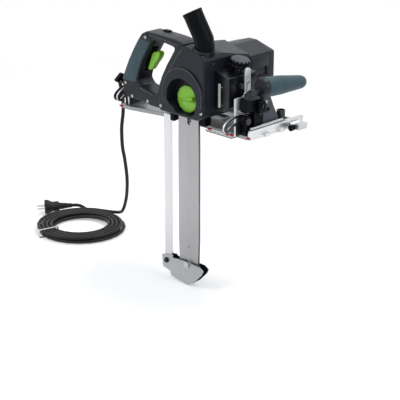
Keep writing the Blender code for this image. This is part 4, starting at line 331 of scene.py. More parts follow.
def toned(tree, source, colour, darker, paler):
    """The colour, varied by the source between two shares of itself."""
    dark = [value * darker for value in colour]
    pale = [min(value * paler, 1.0) for value in colour]
    return shaded(tree, source, dark, pale)


def bumped(tree, shader, source, height):
    """Raises the surface by height metres along the source."""
    bump = tree.nodes.new("ShaderNodeBump")
    bump.inputs["Strength"].default_value = 1.0
    bump.inputs["Distance"].default_value = height
    tree.links.new(source, bump.inputs["Height"])
    tree.links.new(bump.outputs["Normal"], shader.inputs["Normal"])


print("noise is used between", NOISE_LOW, "and", NOISE_HIGH)

# %% [markdown]
# ### Moulded plastics
# One recipe serves the anthracite body, the black parts, the green controls and the printed marks.
# Only the colour, the gloss and how much the shade wanders change.

# %% Moulded plastics
SHADE_PATCH = 0.035
WEAR_PATCH = 0.012
RUBBED = 0.05
DULLED = 0.07
MOULD_GRAIN = 0.0006
MOULD_RELIEF = 0.00003


def moulded(name, colour, roughness, shade=0.14, specular=0.22):
    """Moulded plastic with a fine grain and faint handling marks."""
    made, tree, shader = new_material(name, colour, roughness)
    slow = object_noise(tree, SHADE_PATCH, 4.0)
    tree.links.new(toned(tree, slow.outputs["Fac"], colour, 1.0 - shade, 1.0 + shade),
                   shader.inputs["Base Color"])
    worn = object_noise(tree, WEAR_PATCH, 6.0)
    tree.links.new(spread(tree, worn.outputs["Fac"], roughness - RUBBED, roughness + DULLED),
                   shader.inputs["Roughness"])
    fine = object_noise(tree, MOULD_GRAIN, 2.0)
    bumped(tree, shader, fine.outputs["Fac"], MOULD_RELIEF)
    shader.inputs["Specular IOR Level"].default_value = specular
    return made


anthracite = moulded("anthracite_moulding", (0.0102, 0.0134, 0.0208), 0.36, specular=0.26)
glossy_tank = moulded("glossy_tank_moulding", (0.0040, 0.0048, 0.0085), 0.24, specular=0.45)
black = moulded("black_moulding", (0.0030, 0.0038, 0.0056), 0.36, specular=0.07)
# Glossier and paler than the body, for the beads: the gloss is a real finish, the paler colour a painted
# highlight.
glossy_painted_highlight = moulded("glossy_bead_painted_highlight", (0.034, 0.040, 0.050), 0.24, specular=0.6)
# Grey is the buttress's colour; on the oil cap's upward faces the same grey is a painted highlight.
grey_and_painted_highlight = moulded("grey_moulding_and_painted_highlight", (0.075, 0.080, 0.098), 0.45)
green = moulded("green_moulding", (0.265, 0.615, 0.046), 0.30, shade=0.06, specular=0.45)
pale = moulded("pale_marks", (0.62, 0.64, 0.65), 0.40, shade=0.03, specular=0.4)
red = moulded("red_moulding", (0.60, 0.006, 0.022), 0.35, shade=0.05, specular=0.4)
print("plastics made")

# %% [markdown]
# ### Soft grip
# The grips are a thermoplastic elastomer in a slate blue. It is duller than the nylon and its skin
# is dimpled, which a cell texture gives; a little sheen lifts its edges as rubber does.

# %% Soft grip and cord rubber
RUBBER_PATCH = 0.03
RUBBER_GLINT = 0.28
SHEEN_SPREAD = 0.5


def elastomer(name, colour, roughness, cell, depth, sheen):
    """Soft rubbery plastic with a dimpled skin."""
    made, tree, shader = new_material(name, colour, roughness)
    slow = object_noise(tree, RUBBER_PATCH, 4.0)
    tree.links.new(toned(tree, slow.outputs["Fac"], colour, 0.84, 1.16), shader.inputs["Base Color"])
    place = tree.nodes.new("ShaderNodeTexCoord")
    cells = tree.nodes.new("ShaderNodeTexVoronoi")
    cells.inputs["Scale"].default_value = 1.0 / cell
    tree.links.new(place.outputs["Object"], cells.inputs["Vector"])
    bumped(tree, shader, cells.outputs["Distance"], depth)
    shader.inputs["Specular IOR Level"].default_value = RUBBER_GLINT
    shader.inputs["Sheen Weight"].default_value = sheen
    shader.inputs["Sheen Roughness"].default_value = SHEEN_SPREAD
    return made


soft_grip = elastomer("soft_grip_skin", (0.034, 0.071, 0.088), 0.52, 0.0014, 0.00008, 0.08)
rubber = elastomer("cord_jacket", (0.0060, 0.0060, 0.0068), 0.44, 0.0008, 0.00002, 0.03)
print("rubbers made")

# %% [markdown]
# ### Metals
# Rolled or ground metal has fine lines along its working direction: a noise pulled out along one
# axis drives both gloss and a very small relief. Cast and blasted metal has round grains instead.

# %% Drawn and cast metal
LINE_WIDTH = 0.0005
LINE_RELIEF = 0.000012
LINE_SWING = 0.09
METAL_PATCH = 0.05
CAST_PATCH = 0.03
CAST_SWING = 0.07


def drawn_metal(name, colour, roughness, stretch, line=LINE_WIDTH):
    """Metal with fine lines along the stretched axis."""
    made, tree, shader = new_material(name, colour, roughness, 1.0)
    lines = object_noise(tree, line, 3.0, stretch)
    tree.links.new(spread(tree, lines.outputs["Fac"], roughness - LINE_SWING, roughness + LINE_SWING),
                   shader.inputs["Roughness"])
    slow = object_noise(tree, METAL_PATCH, 3.0, [math.sqrt(pull) for pull in stretch])
    tree.links.new(toned(tree, slow.outputs["Fac"], colour, 0.90, 1.06), shader.inputs["Base Color"])
    bumped(tree, shader, lines.outputs["Fac"], LINE_RELIEF)
    return made


def cast_metal(name, colour, roughness, grain=0.0007, depth=0.00005, metallic=1.0):
    """Cast or blasted metal with a round grain."""
    made, tree, shader = new_material(name, colour, roughness, metallic)
    grains = object_noise(tree, grain, 4.0)
    slow = object_noise(tree, CAST_PATCH, 5.0)
    tree.links.new(toned(tree, slow.outputs["Fac"], colour, 0.86, 1.10), shader.inputs["Base Color"])
    tree.links.new(spread(tree, slow.outputs["Fac"], roughness - CAST_SWING, roughness + CAST_SWING),
                   shader.inputs["Roughness"])
    bumped(tree, shader, grains.outputs["Fac"], depth)
    return made


print("lines of drawn metal are", LINE_WIDTH, "m wide")

# %% Painted metal with bare edges
PAINT_START = 0.80
PAINT_FULL = 0.95
PAINT_PATCH = 0.02
PAINT_GRAIN = 0.0005
PAINT_RELIEF = 0.00002


def edged_metal(name, face, edge, roughness):
    """Painted metal whose cut edges are bare: the bare colour shows where the normal turns from X."""
    made, tree, shader = new_material(name, edge, roughness)
    place = tree.nodes.new("ShaderNodeTexCoord")
    parts = tree.nodes.new("ShaderNodeSeparateXYZ")
    tree.links.new(place.outputs["Normal"], parts.inputs["Vector"])
    size = tree.nodes.new("ShaderNodeMath")
    size.operation = "ABSOLUTE"
    tree.links.new(parts.outputs["X"], size.inputs[0])
    painted = tree.nodes.new("ShaderNodeMapRange")
    painted.inputs["From Min"].default_value = PAINT_START
    painted.inputs["From Max"].default_value = PAINT_FULL
    tree.links.new(size.outputs["Value"], painted.inputs["Value"])
    slow = object_noise(tree, PAINT_PATCH, 5.0)
    mix = tree.nodes.new("ShaderNodeMix")
    mix.data_type = "RGBA"
    tree.links.new(painted.outputs["Result"], mix.inputs["Factor"])
    mix.inputs["A"].default_value = (*edge, 1.0)
    tree.links.new(toned(tree, slow.outputs["Fac"], face, 0.8, 1.0), mix.inputs["B"])
    tree.links.new(mix.outputs["Result"], shader.inputs["Base Color"])
    bare = tree.nodes.new("ShaderNodeMath")
    bare.operation = "SUBTRACT"
    bare.inputs[0].default_value = 1.0
    tree.links.new(painted.outputs["Result"], bare.inputs[1])
    tree.links.new(bare.outputs["Value"], shader.inputs["Metallic"])
    grains = object_noise(tree, PAINT_GRAIN, 3.0)
    bumped(tree, shader, grains.outputs["Fac"], PAINT_RELIEF)
    return made


print("paint covers faces whose normal has an X above", PAINT_FULL)

# %% The metals of the saw
bar_steel = drawn_metal("bar_steel", (0.42, 0.42, 0.43), 0.40, (1.0, 1.0, 40.0))
turned_steel = drawn_metal("turned_steel", (0.56, 0.57, 0.59), 0.30, (1.0, 30.0, 1.0))
plate_steel = drawn_metal("plate_steel", (0.44, 0.45, 0.46), 0.36, (30.0, 1.0, 1.0))
extruded = drawn_metal("extruded_aluminium", (0.71, 0.72, 0.73), 0.36, (1.0, 1.0, 60.0), 0.0007)
blasted = cast_metal("blasted_aluminium", (0.62, 0.63, 0.64), 0.44)
casting = cast_metal("sole_casting_finish", (0.34, 0.35, 0.36), 0.46, 0.0009, 0.00008)
dark_steel = cast_metal("blackened_steel", (0.05, 0.05, 0.055), 0.40, 0.0005, 0.00002, 0.8)
edged = edged_metal("painted_plate", (0.010, 0.011, 0.013), (0.62, 0.63, 0.64), 0.38)
print("metals made")

# %% [markdown]
# ### Windings and clear plastic
# The armature and the stator are laminated and wound with lacquered copper. A wave texture draws
# the strands. The oil window and the splinter guard are translucent: a mostly transmitting
# Principled shader with a low roughness.

# %% Windings and clear plastic
WIRE_SCALE = 500.0
WIRE_WANDER = 0.6
WIRE_RELIEF = 0.0002
PLASTIC_IOR = 1.46
FLOW_PATCH = 0.012
FLOW_SWING = 0.10
FLOW_RELIEF = 0.00005


def wound_copper(name):
    """Lacquered copper wire wound side by side."""
    made, tree, shader = new_material(name, (0.55, 0.22, 0.09), 0.34, 0.9)
    place = tree.nodes.new("ShaderNodeTexCoord")
    wave = tree.nodes.new("ShaderNodeTexWave")
    wave.inputs["Scale"].default_value = WIRE_SCALE
    wave.inputs["Distortion"].default_value = WIRE_WANDER
    tree.links.new(place.outputs["Object"], wave.inputs["Vector"])
    tree.links.new(shaded(tree, wave.outputs["Fac"], (0.30, 0.10, 0.035), (0.66, 0.29, 0.13)),
                   shader.inputs["Base Color"])
    bumped(tree, shader, wave.outputs["Fac"], WIRE_RELIEF)
    return made


def clear_plastic(name, colour, roughness, transmission):
    """Translucent moulded plastic with faint flow marks."""
    made, tree, shader = new_material(name, colour, roughness)
    shader.inputs["Transmission Weight"].default_value = transmission
    shader.inputs["IOR"].default_value = PLASTIC_IOR
    flow = object_noise(tree, FLOW_PATCH, 3.0)
    tree.links.new(spread(tree, flow.outputs["Fac"], roughness, roughness + FLOW_SWING),
                   shader.inputs["Roughness"])
    bumped(tree, shader, flow.outputs["Fac"], FLOW_RELIEF)
    return made


copper = wound_copper("wound_copper")
window_plastic = clear_plastic("window_plastic", (0.80, 0.82, 0.78), 0.20, 0.12)
guard_plastic = clear_plastic("guard_plastic", (0.90, 0.92, 0.92), 0.06, 0.75)
print("materials in all:", len(bpy.data.materials))

# %% [markdown]
# ## Dressing the solids
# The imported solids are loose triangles, so they look faceted. Three modifiers turn each into a
# crisp moulding without touching its own vertices: Weld joins the triangles, Bevel breaks the sharp
# edges by less than a millimetre so that they catch the light, and Weighted Normal keeps the large
# faces flat in their shading.

# %% Dress a solid
EDGE_BREAK = 0.0004
MOULD_EDGE = 0.0009
SHARP_DEG = 32.0
WELD_REACH = 0.00001


def dress(node, look, edge=EDGE_BREAK, segments=2):
    """Gives a CAD node its finish, soft shading and broken edges."""
    solid = nodes[node]
    mesh = solid.data
    mesh.materials.clear()
    mesh.materials.append(look)
    if "custom_normal" in mesh.attributes:
        mesh.attributes.remove(mesh.attributes["custom_normal"])
    mesh.shade_smooth()
    weld = solid.modifiers.new("weld", "WELD")
    weld.merge_threshold = WELD_REACH
    bevel = solid.modifiers.new("edges", "BEVEL")
    bevel.width = edge
    bevel.segments = segments
    bevel.limit_method = "ANGLE"
    bevel.angle_limit = math.radians(SHARP_DEG)
    bevel.use_clamp_overlap = True
    bevel.miter_outer = "MITER_ARC"
    normals = solid.modifiers.new("normals", "WEIGHTED_NORMAL")
    normals.keep_sharp = True
    return solid


print("edges are broken by", EDGE_BREAK, "or", MOULD_EDGE, "m")

# %% Which finish goes where
FINISHES = {
    "sprocket_cover": anthracite, "gear_housing": anthracite, "motor_housing": anthracite,
    "motor_end_cap": anthracite, "oil_tank": glossy_tank, "handle_shell_near": anthracite,
    "handle_shell_far": anthracite, "handle_arm": anthracite,
    "extraction_spout": black, "oil_cap": black, "switch_unit": black, "lock_button": black,
    "chip_deflector": black, "chain_catcher": black, "front_lever": black, "rear_lever": black,
    "front_bracket": black, "rear_bracket": black, "cooling_fan": black, "jaw_knob": black,
    "shoe_far_plate": black, "plug": black, "strain_relief": black,
    "buttress": grey_and_painted_highlight, "cover_knob": green, "trigger": green,
    "grip_pad": soft_grip, "front_grip": soft_grip,
    "guide_bar": bar_steel, "support_rail": extruded, "front_beam": extruded,
    "rail_bracket": plate_steel, "shoe_near_plate": plate_steel,
    "bar_stud": turned_steel, "drive_sprocket": plate_steel, "sprocket_shaft": turned_steel,
    "drive_gear": plate_steel, "motor_pinion": plate_steel, "shaft_bearing": turned_steel,
    "motor_bearing": turned_steel, "stator": plate_steel, "nose_bolt": turned_steel,
    "front_pivot_bolt": dark_steel, "rear_pivot_bolt": turned_steel, "stop_sleeve": dark_steel,
    "fence_rod": turned_steel, "coil_tie": turned_steel, "gearbox_plate": blasted,
    "front_pivot_plate": blasted, "guide_jaw": blasted, "front_segment": edged,
    "rear_pivot_plate": edged, "rear_segment": edged,
    "sole_plate": casting, "armature": copper, "sight_window": window_plastic,
    "splinter_guard": guard_plastic,
}
for node, look in FINISHES.items():
    if look in (anthracite, glossy_tank):
        dress(node, look, MOULD_EDGE, 3)
    else:
        dress(node, look)
mains_cord.data.materials.append(rubber)
print("solids dressed:", len(FINISHES))

# %% [markdown]
# ## Fine pieces
# Everything that is too small for the solids is made here and screwed, printed or moulded onto them:
# screws, rivets, marks, ribs and the finer forms of the grips, the bar and the plug. Each piece is
# built in the saw's datum, moved once, and rides on the body that carries it. A probe along a line
# finds the surface that a piece sits on, so nothing floats.

# %% Ways to look at the saw
NEAR_START = -0.08
FAR_START = 0.30
AHEAD_START = 0.20
BEHIND_START = -0.40
ABOVE_START = 0.10
INWARD = (0, 1, 0)
OUTWARD = (0, -1, 0)
FORWARD = (1, 0, 0)
BACKWARD = (-1, 0, 0)
DOWNWARD = (0, 0, -1)
SIDEWAYS = Matrix(((0, 0, 1, 0), (1, 0, 0, 0), (0, 1, 0, 0), (0, 0, 0, 1)))


def from_near(x, z):
    """Start and way of a probe from the near side."""
    return (x, NEAR_START, z), INWARD


def from_ahead(y, z):
    """Start and way of a probe from ahead of the saw."""
    return (AHEAD_START, y, z), BACKWARD


def from_above(x, y):
    """Start and way of a probe from above the sole."""
    return (x, y, ABOVE_START), DOWNWARD


def probe(node, start, way):
    """The point, in the saw's datum, where a line from start meets a CAD node."""
    hit, place, _, _ = nodes[node].ray_cast(at(*start), Vector(way))
    if not hit:
        raise ValueError("the probe misses " + node)
    return place - DATUM


def facing(place, way):
    """A frame at a place whose Z points along the way."""
    return Matrix.Translation(place) @ Vector(way).to_track_quat("Z", "Y").to_matrix().to_4x4()


def seated(node, start, way):
    """A frame on a node's surface that faces back along the probe."""
    return facing(probe(node, start, way), -Vector(way))


print("near side of the cover:", round(probe("sprocket_cover", *from_near(0.0150, 0.1400)).y, 4))

# %% [markdown]
# ### From mesh code to a piece
# A part is mesh code made round the origin. Parts are joined into a piece, each placed by its frame,
# and the piece gets its finish and its body.

# %% Helpers for pieces
SMOOTH_DEG = 34.0


def built(name, bm, look, body, smooth_deg=SMOOTH_DEG):
    """Turns mesh code into a piece of the saw that rides on a body."""
    bmesh.ops.recalc_face_normals(bm, faces=bm.faces)
    mesh = bpy.data.meshes.new(name)
    bm.to_mesh(mesh)
    bm.free()
    mesh.transform(Matrix.Translation(DATUM))
    mesh.materials.append(look)
    mesh.shade_smooth()
    mesh.set_sharp_from_angle(angle=math.radians(smooth_deg))
    made = bpy.data.objects.new(name, mesh)
    bpy.context.scene.collection.objects.link(made)
    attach(made, body)
    return made


def added(bm, part, frame_matrix):
    """Adds a part to mesh code, placed by a frame."""
    bmesh.ops.transform(part, matrix=frame_matrix, verts=part.verts)
    lump = bpy.data.meshes.new("lump")
    part.to_mesh(lump)
    part.free()
    bm.from_mesh(lump)
    bpy.data.meshes.remove(lump)


def joined(name, parts, look, body, smooth_deg=SMOOTH_DEG):
    """One piece of the saw from parts that each come with a frame."""
    bm = bmesh.new()
    for part, frame_matrix in parts:
        added(bm, part, frame_matrix)
    return built(name, bm, look, body, smooth_deg)


def softened(piece, width, segments=3, angle_deg=38.0):
    """Rounds the sharp edges of a piece."""
    bevel = piece.modifiers.new("soft_edges", "BEVEL")
    bevel.width = width
    bevel.segments = segments
    bevel.limit_method = "ANGLE"
    bevel.angle_limit = math.radians(angle_deg)
    return piece


print("edges count as sharp above", SMOOTH_DEG, "degrees")

# %% [markdown]
# ### Two basic forms
# Nearly every part is either spun about an axis or a flat outline that is raised and has its rim
# rounded.

# %% Spun bodies and raised outlines
SAME_POINT = 0.000002
LET_IN = 0.0004


def spun(profile, count, closed=False):
    """A body about Z from (radius, height) points that start and end on the axis, or close a ring."""
    part = bmesh.new()
    corners = [part.verts.new((radius, 0, height)) for radius, height in profile]
    following = corners[1:] + corners[:1] if closed else corners[1:]
    sides = [part.edges.new(pair) for pair in zip(corners, following)]
    bmesh.ops.spin(part, geom=corners + sides, cent=(0, 0, 0), axis=(0, 0, 1), angle=math.tau,
                   steps=count, use_merge=True)
    bmesh.ops.remove_doubles(part, verts=part.verts, dist=SAME_POINT)
    return part


def rounded(part, sides, offset, segments=2):
    """Rounds some edges of a part."""
    bmesh.ops.bevel(part, geom=sides, offset=offset, segments=segments, profile=0.5, affect="EDGES",
                    material=-1)


def edges_above(part, height):
    """The edges of a part that lie wholly above a height."""
    return [side for side in part.edges if all(corner.co.z > height for corner in side.verts)]


def raised(part, height):
    """Gives a flat part a thickness along Z."""
    grown = bmesh.ops.extrude_face_region(part, geom=list(part.faces))
    moved = [item for item in grown["geom"] if isinstance(item, bmesh.types.BMVert)]
    bmesh.ops.translate(part, verts=moved, vec=(0, 0, height))


def slab(outline, low, high, edge, segments=2):
    """A flat outline raised from low to high along Z, with its rim edges rounded."""
    part = bmesh.new()
    part.faces.new([part.verts.new((x, y, low)) for x, y in outline])
    raised(part, high - low)
    if edge > 0:
        rounded(part, edges_above(part, (low + high) / 2), edge, segments)
    return part


def oblong(left, low, right, high):
    """The outline of a rectangle."""
    return [(left, low), (right, low), (right, high), (left, high)]


def on_front(outline, face, rise, edge, segments=2):
    """A (y, z) outline let into a forward face and standing proud of it, with its frame."""
    return slab(outline, face - LET_IN, face + rise, edge, segments), SIDEWAYS


sample_slab = slab(oblong(0, 0, 0.01, 0.01), 0, 0.002, 0.0005)
print("a raised square with a rounded rim has", len(sample_slab.faces), "faces")
sample_slab.free()

# %% [markdown]
# ### Screws
# The mouldings are held by pan-head screws with a six-lobed socket. The socket is the head's top face,
# inset, pulled into six lobes and pushed down.

# %% Screws
SCREW_RADIUS = 0.0034
SCREW_HEIGHT = 0.0016
SCREW_TAPER = 0.86
SCREW_ROUNDING = 0.3
SOCKET_INSET = 0.44
SOCKET_SHARE = 0.52
SOCKET_DEPTH = 0.0011
SOCKET_WALL = 0.00004
LOBES = 6
LOBE_SHARE = 0.16
screw_steel = cast_metal("screw_steel", (0.50, 0.51, 0.53), 0.32, 0.0004, 0.00001)


def pan_head(radius):
    """A pan-head screw whose top faces +Z."""
    part = bmesh.new()
    bmesh.ops.create_cone(part, cap_ends=True, segments=24, radius1=radius, radius2=radius * SCREW_TAPER,
                          depth=SCREW_HEIGHT)
    bmesh.ops.translate(part, verts=part.verts, vec=(0, 0, SCREW_HEIGHT / 2 - LET_IN))
    top = max(part.faces, key=lambda face: face.calc_center_median().z)
    rounded(part, list(top.edges), SCREW_HEIGHT * SCREW_ROUNDING, 3)
    top = max(part.faces, key=lambda face: (round(face.calc_center_median().z, 6), len(face.verts)))
    bmesh.ops.inset_region(part, faces=[top], thickness=radius * SOCKET_INSET)
    for corner in top.verts:
        angle = math.atan2(corner.co.y, corner.co.x)
        reach = radius * SOCKET_SHARE * (1 + LOBE_SHARE * math.cos(LOBES * angle))
        corner.co.x = reach * math.cos(angle)
        corner.co.y = reach * math.sin(angle)
    bmesh.ops.inset_region(part, faces=[top], thickness=SOCKET_WALL, depth=-SOCKET_DEPTH)
    return part


def screws(name, places, body, radius=SCREW_RADIUS, look=screw_steel):
    """Screw heads seated on CAD nodes, given as node, start of the probe and way of the probe."""
    heads = [(pan_head(radius), seated(node, start, way)) for node, start, way in places]
    return joined(name, heads, look, body)


print("a screw head stands proud by", round(SCREW_HEIGHT - LET_IN, 4))

# %% Screws of the mouldings
MOTOR_MIDDLE = (0.018, 0.104)
MOTOR_SCREWS = ((-0.046, -0.036), (0.046, -0.036), (-0.046, 0.024), (0.046, 0.024))
screws("handle_screws", [("grip_pad", *from_near(-0.0960, 0.1660)),
                         ("handle_shell_near", *from_near(-0.1575, 0.0625)),
                         ("handle_shell_near", *from_near(-0.1385, 0.0380)),
                         ("handle_shell_near", *from_near(-0.0925, 0.0365))], HEAD)
screws("cover_screws", [("sprocket_cover", *from_near(-0.0465, 0.0385)),
                        ("sprocket_cover", *from_near(0.0645, 0.0455))], HEAD)
# Dark heads: the two in the gear housing are dark screws; the one in the cover stands for a screw deep in a
# well, its dark a painted shade of that well.
screws("housing_screws", [("sprocket_cover", *from_near(0.0150, 0.1560)),
                          ("gear_housing", *from_ahead(-0.0060, 0.1380)),
                          ("gear_housing", *from_ahead(0.0820, 0.1250))], HEAD, look=dark_steel)
motor_places = [(MOTOR_MIDDLE[0] + across, FAR_START, MOTOR_MIDDLE[1] + up) for across, up in MOTOR_SCREWS]
screws("motor_screws", [("motor_end_cap", place, OUTWARD) for place in motor_places], HEAD, 0.0036)
plate_face = probe("front_pivot_plate", *from_ahead(0.0270, 0.096)).x
joined("plate_screws", [(pan_head(0.0042), facing(Vector((plate_face, 0.0335, z)), FORWARD))
                        for z in (0.084, 0.108)], screw_steel, HEAD)
screws("sole_screws", [("front_bracket", *from_ahead(0.0430, 0.0180)),
                       ("buttress", *from_ahead(0.0660, 0.0660))], BASE, 0.0036)
print("screws in the motor's end:", len(motor_places), "and its front plate at", round(plate_face, 4))

# %% [markdown]
# ### The guide bar
# A guide bar is laminated: two cheeks and a thinner middle, which leaves the groove for the chain
# round its edge. The groove is cut here into a merged copy of the solid: the outer rim's faces are
# inset and pushed inward.

# %% The bar with its groove
GROOVE_WALL = 0.0017
GROOVE_DEPTH = 0.0042
FLAT_DEG = 0.6
RIM_FACING = 0.3


def merged_copy(node):
    """The node's mesh as mesh code in the saw's datum, with its loose triangles joined."""
    bm = bmesh.new()
    bm.from_mesh(nodes[node].data)
    bmesh.ops.remove_doubles(bm, verts=bm.verts, dist=WELD_REACH)
    bmesh.ops.dissolve_limit(bm, angle_limit=math.radians(FLAT_DEG), verts=bm.verts, edges=bm.edges)
    bmesh.ops.translate(bm, verts=bm.verts, vec=-DATUM)
    return bm


def spread_faces(start, allowed):
    """All allowed faces that share edges with the start face."""
    found = {start}
    waiting = [start]
    while waiting:
        for side in waiting.pop().edges:
            for other in side.link_faces:
                if other in allowed and other not in found:
                    found.add(other)
                    waiting.append(other)
    return found


bm = merged_copy("guide_bar")
rims = {face for face in bm.faces if abs(face.normal.y) < RIM_FACING}
tip = min(rims, key=lambda face: face.calc_center_median().z)
band = spread_faces(tip, rims)
bmesh.ops.inset_region(bm, faces=list(band), thickness=GROOVE_WALL, depth=-GROOVE_DEPTH,
                       use_even_offset=True)
guide_bar_fine = softened(built("guide_bar_laminated", bm, bar_steel, HEAD), 0.00025, 2, 40.0)
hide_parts("guide_bar")
print("faces round the rim of the bar:", len(band))

# %% Rivets of the bar
RIVET_HEIGHTS = (-0.2905, -0.3005, -0.3105)
RIVET_FACE = 0.0025
RIVET_PROFILE = [(0, 0.0004), (0.0016, 0.00035), (0.0022, 0.0001), (0.0023, -0.0004), (0, -0.0004)]
rivets = [(spun(RIVET_PROFILE, 20), facing(Vector((0, side * RIVET_FACE, z)), (0, side, 0)))
          for z in RIVET_HEIGHTS for side in (-1, 1)]
joined("bar_rivets", rivets, turned_steel, HEAD)
print("rivet heads:", len(rivets))

# %% [markdown]
# ### Front grip
# The front grip is pear-shaped: full near its collar, slimmer and rounded at its end. Its outline is
# eased through a few radii and spun.

# %% Front grip
GRIP_START = Vector((0.163, 0.036, 0.104))
GRIP_WAY = Vector((0.007, 0.110, -0.008)).normalized()
GRIP_REACH = 0.1095
GRIP_FOOT = 0.0004
GRIP_RADII = [(0.0, 0.0164), (0.02, 0.0182), (0.08, 0.0189), (0.20, 0.0190), (0.38, 0.0182),
              (0.58, 0.0162), (0.76, 0.0144), (0.88, 0.0131), (0.95, 0.0108), (0.985, 0.0068), (1.0, 0.0)]

radii = eased([Vector((radius, share * GRIP_REACH, 0)) for share, radius in GRIP_RADII], 40)
grip_profile = [(max(point.x, 0.0), max(point.y, GRIP_FOOT)) for point in radii[:-1]]
grip_profile = [(0, GRIP_FOOT)] + grip_profile + [(0, GRIP_REACH)]
front_grip_skin = joined("front_grip_skin", [(spun(grip_profile, 56), facing(GRIP_START, GRIP_WAY))],
                         soft_grip, BASE, 60.0)
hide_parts("front_grip")
print("front grip:", len(front_grip_skin.data.vertices), "corners")

# %% [markdown]
# ### Bend relief and plug
# The relief is a tapered rubber sleeve with rings that let it bend evenly. The plug has a ribbed
# sleeve too, a grip with flats, a flange and two round metal pins.

# %% Bend relief
RELIEF_RINGS = 9
RELIEF_SIDES = 32
relief_profile = [(0, 0), (0.0068, 0), (0.0068, 0.0042), (0.0061, 0.0052)]
for index in range(RELIEF_RINGS):
    share = index / (RELIEF_RINGS - 1)
    low = 0.0060 + (RELIEF_LENGTH - 0.0066) * index / RELIEF_RINGS
    crest = 0.0062 - 0.0010 * share
    relief_profile += [(crest - 0.0009, low), (crest - 0.0001, low + 0.0006), (crest, low + 0.0014),
                       (crest - 0.0001, low + 0.0021), (crest - 0.0009, low + 0.0026)]
relief_profile += [(0.0050, RELIEF_LENGTH - 0.0004), (0.0045, RELIEF_LENGTH), (0, RELIEF_LENGTH)]
relief_start = Vector((-HANDLE_REAR - CLEARANCE, RELIEF_SIDE, RELIEF_HEIGHT))
bend_relief = joined("bend_relief", [(spun(relief_profile, RELIEF_SIDES), facing(relief_start, BACKWARD))],
                     rubber, HEAD, 40.0)
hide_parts("strain_relief")
print("rings of the bend relief:", RELIEF_RINGS)

# %% Plug
PLUG_SLEEVE = 0.030
PLUG_BODY = 0.034
PLUG_RIBS = 6
PLUG_SIDES = 48
PLUG_FLATS = (0.004, 0.020)
PLUG_FLATNESS = 0.80
plug_profile = [(0, 0), (0.0053, 0)]
for index in range(PLUG_RIBS):
    low = 0.002 + 0.0042 * index
    reach = 0.0056 + 0.0005 * index
    plug_profile += [(reach - 0.0008, low), (reach, low + 0.0008), (reach, low + 0.0022),
                     (reach - 0.0008, low + 0.0030)]
plug_profile += [(0.0088, PLUG_SLEEVE - 0.001), (0.0125, PLUG_SLEEVE + 0.003), (0.0142, PLUG_SLEEVE + 0.008),
                 (0.0140, PLUG_SLEEVE + 0.016), (0.0146, PLUG_SLEEVE + 0.022), (0.0166, PLUG_SLEEVE + 0.026),
                 (0.0170, PLUG_SLEEVE + 0.028), (0.0170, PLUG_SLEEVE + PLUG_BODY - 0.001),
                 (0.0160, PLUG_SLEEVE + PLUG_BODY), (0, PLUG_SLEEVE + PLUG_BODY)]
part = spun(plug_profile, PLUG_SIDES)
for corner in part.verts:
    if PLUG_FLATS[0] < corner.co.z - PLUG_SLEEVE < PLUG_FLATS[1]:
        corner.co.y *= PLUG_FLATNESS
plug_body = joined("plug_body", [(part, facing(plug_start, plug_way))], rubber, HEAD, 46.0)
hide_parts("plug")
print("plug with", PLUG_RIBS, "ribs")

# %% Pins of the plug
PIN_RADIUS = 0.0024
PIN_LENGTH = 0.019
PIN_SPACING = 0.019
PIN_PROFILE = [(0, 0), (PIN_RADIUS, 0), (PIN_RADIUS, PIN_LENGTH - 0.0010),
               (PIN_RADIUS * 0.75, PIN_LENGTH), (0, PIN_LENGTH + 0.0008)]
pin_foot = plug_start + plug_way * (PLUG_SLEEVE + PLUG_BODY - 0.001)
aside = plug_way.cross(Vector((0, 0, 1))) * PIN_SPACING / 2
plug_pins = joined("plug_pins", [(spun(PIN_PROFILE, 24), facing(pin_foot + aside * side, plug_way))
                                 for side in (-1, 1)], turned_steel, HEAD, 40.0)
print("pins made")

# %% [markdown]
# ### Oil cap, window and spout
# The oil cap is a spun dome whose side is pulled in by fourteen flutes; its faces that point up, over the
# ribbed ring, are grey as a painted highlight. The window gets a raised frame with two level marks, and the
# spout a thickened lip where the hose slides on.

# %% Oil cap
CAP_FOOT = Vector((0.092, 0.042, 0.12313))
CAP_LEAN = Vector((math.sin(math.radians(12.0)), 0, math.cos(math.radians(12.0))))
CAP_RADIUS = 0.0205
CAP_SEAT = 0.0093
CAP_HIGHLIGHT_FACING = 0.6
FLUTES = 14
FLUTE_LOW = 0.0034
FLUTE_HIGH = 0.0130
FLUTE_WALL = 0.004
FLUTE_PULL = 0.06
FLUTE_FLOOR = -0.2
cap_profile = [(0, 0), (CAP_RADIUS - 0.0012, 0), (CAP_RADIUS, 0.0012), (CAP_RADIUS, 0.0032),
               (CAP_RADIUS - 0.0004, 0.0036), (CAP_RADIUS - 0.0004, 0.0095), (CAP_RADIUS - 0.0012, 0.0120),
               (CAP_RADIUS - 0.0034, 0.0140), (CAP_RADIUS - 0.0062, 0.0150), (CAP_RADIUS - 0.0072, 0.0146),
               (CAP_RADIUS - 0.0086, 0.0152), (CAP_RADIUS * 0.3, 0.0164), (0, 0.0168)]
part = spun(cap_profile, FLUTES * 8)
for corner in part.verts:
    reach = math.hypot(corner.co.x, corner.co.y)
    if FLUTE_LOW < corner.co.z < FLUTE_HIGH and reach > CAP_RADIUS - FLUTE_WALL:
        angle = math.atan2(corner.co.y, corner.co.x)
        pull = 1 - FLUTE_PULL * max(math.cos(FLUTES * angle), FLUTE_FLOOR)
        corner.co.x *= pull
        corner.co.y *= pull
oil_cap_dome = joined("oil_cap_dome", [(part, facing(CAP_FOOT + CAP_LEAN * CAP_SEAT, CAP_LEAN))], black,
                      "oil_cap", 50.0)
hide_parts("oil_cap")
# The cap's faces that point up are grey: a painted highlight on its crown.
oil_cap_dome.data.materials.append(grey_and_painted_highlight)
for face in oil_cap_dome.data.polygons:
    if face.normal.z > CAP_HIGHLIGHT_FACING:
        face.material_index = 1
print("flutes of the oil cap:", FLUTES)


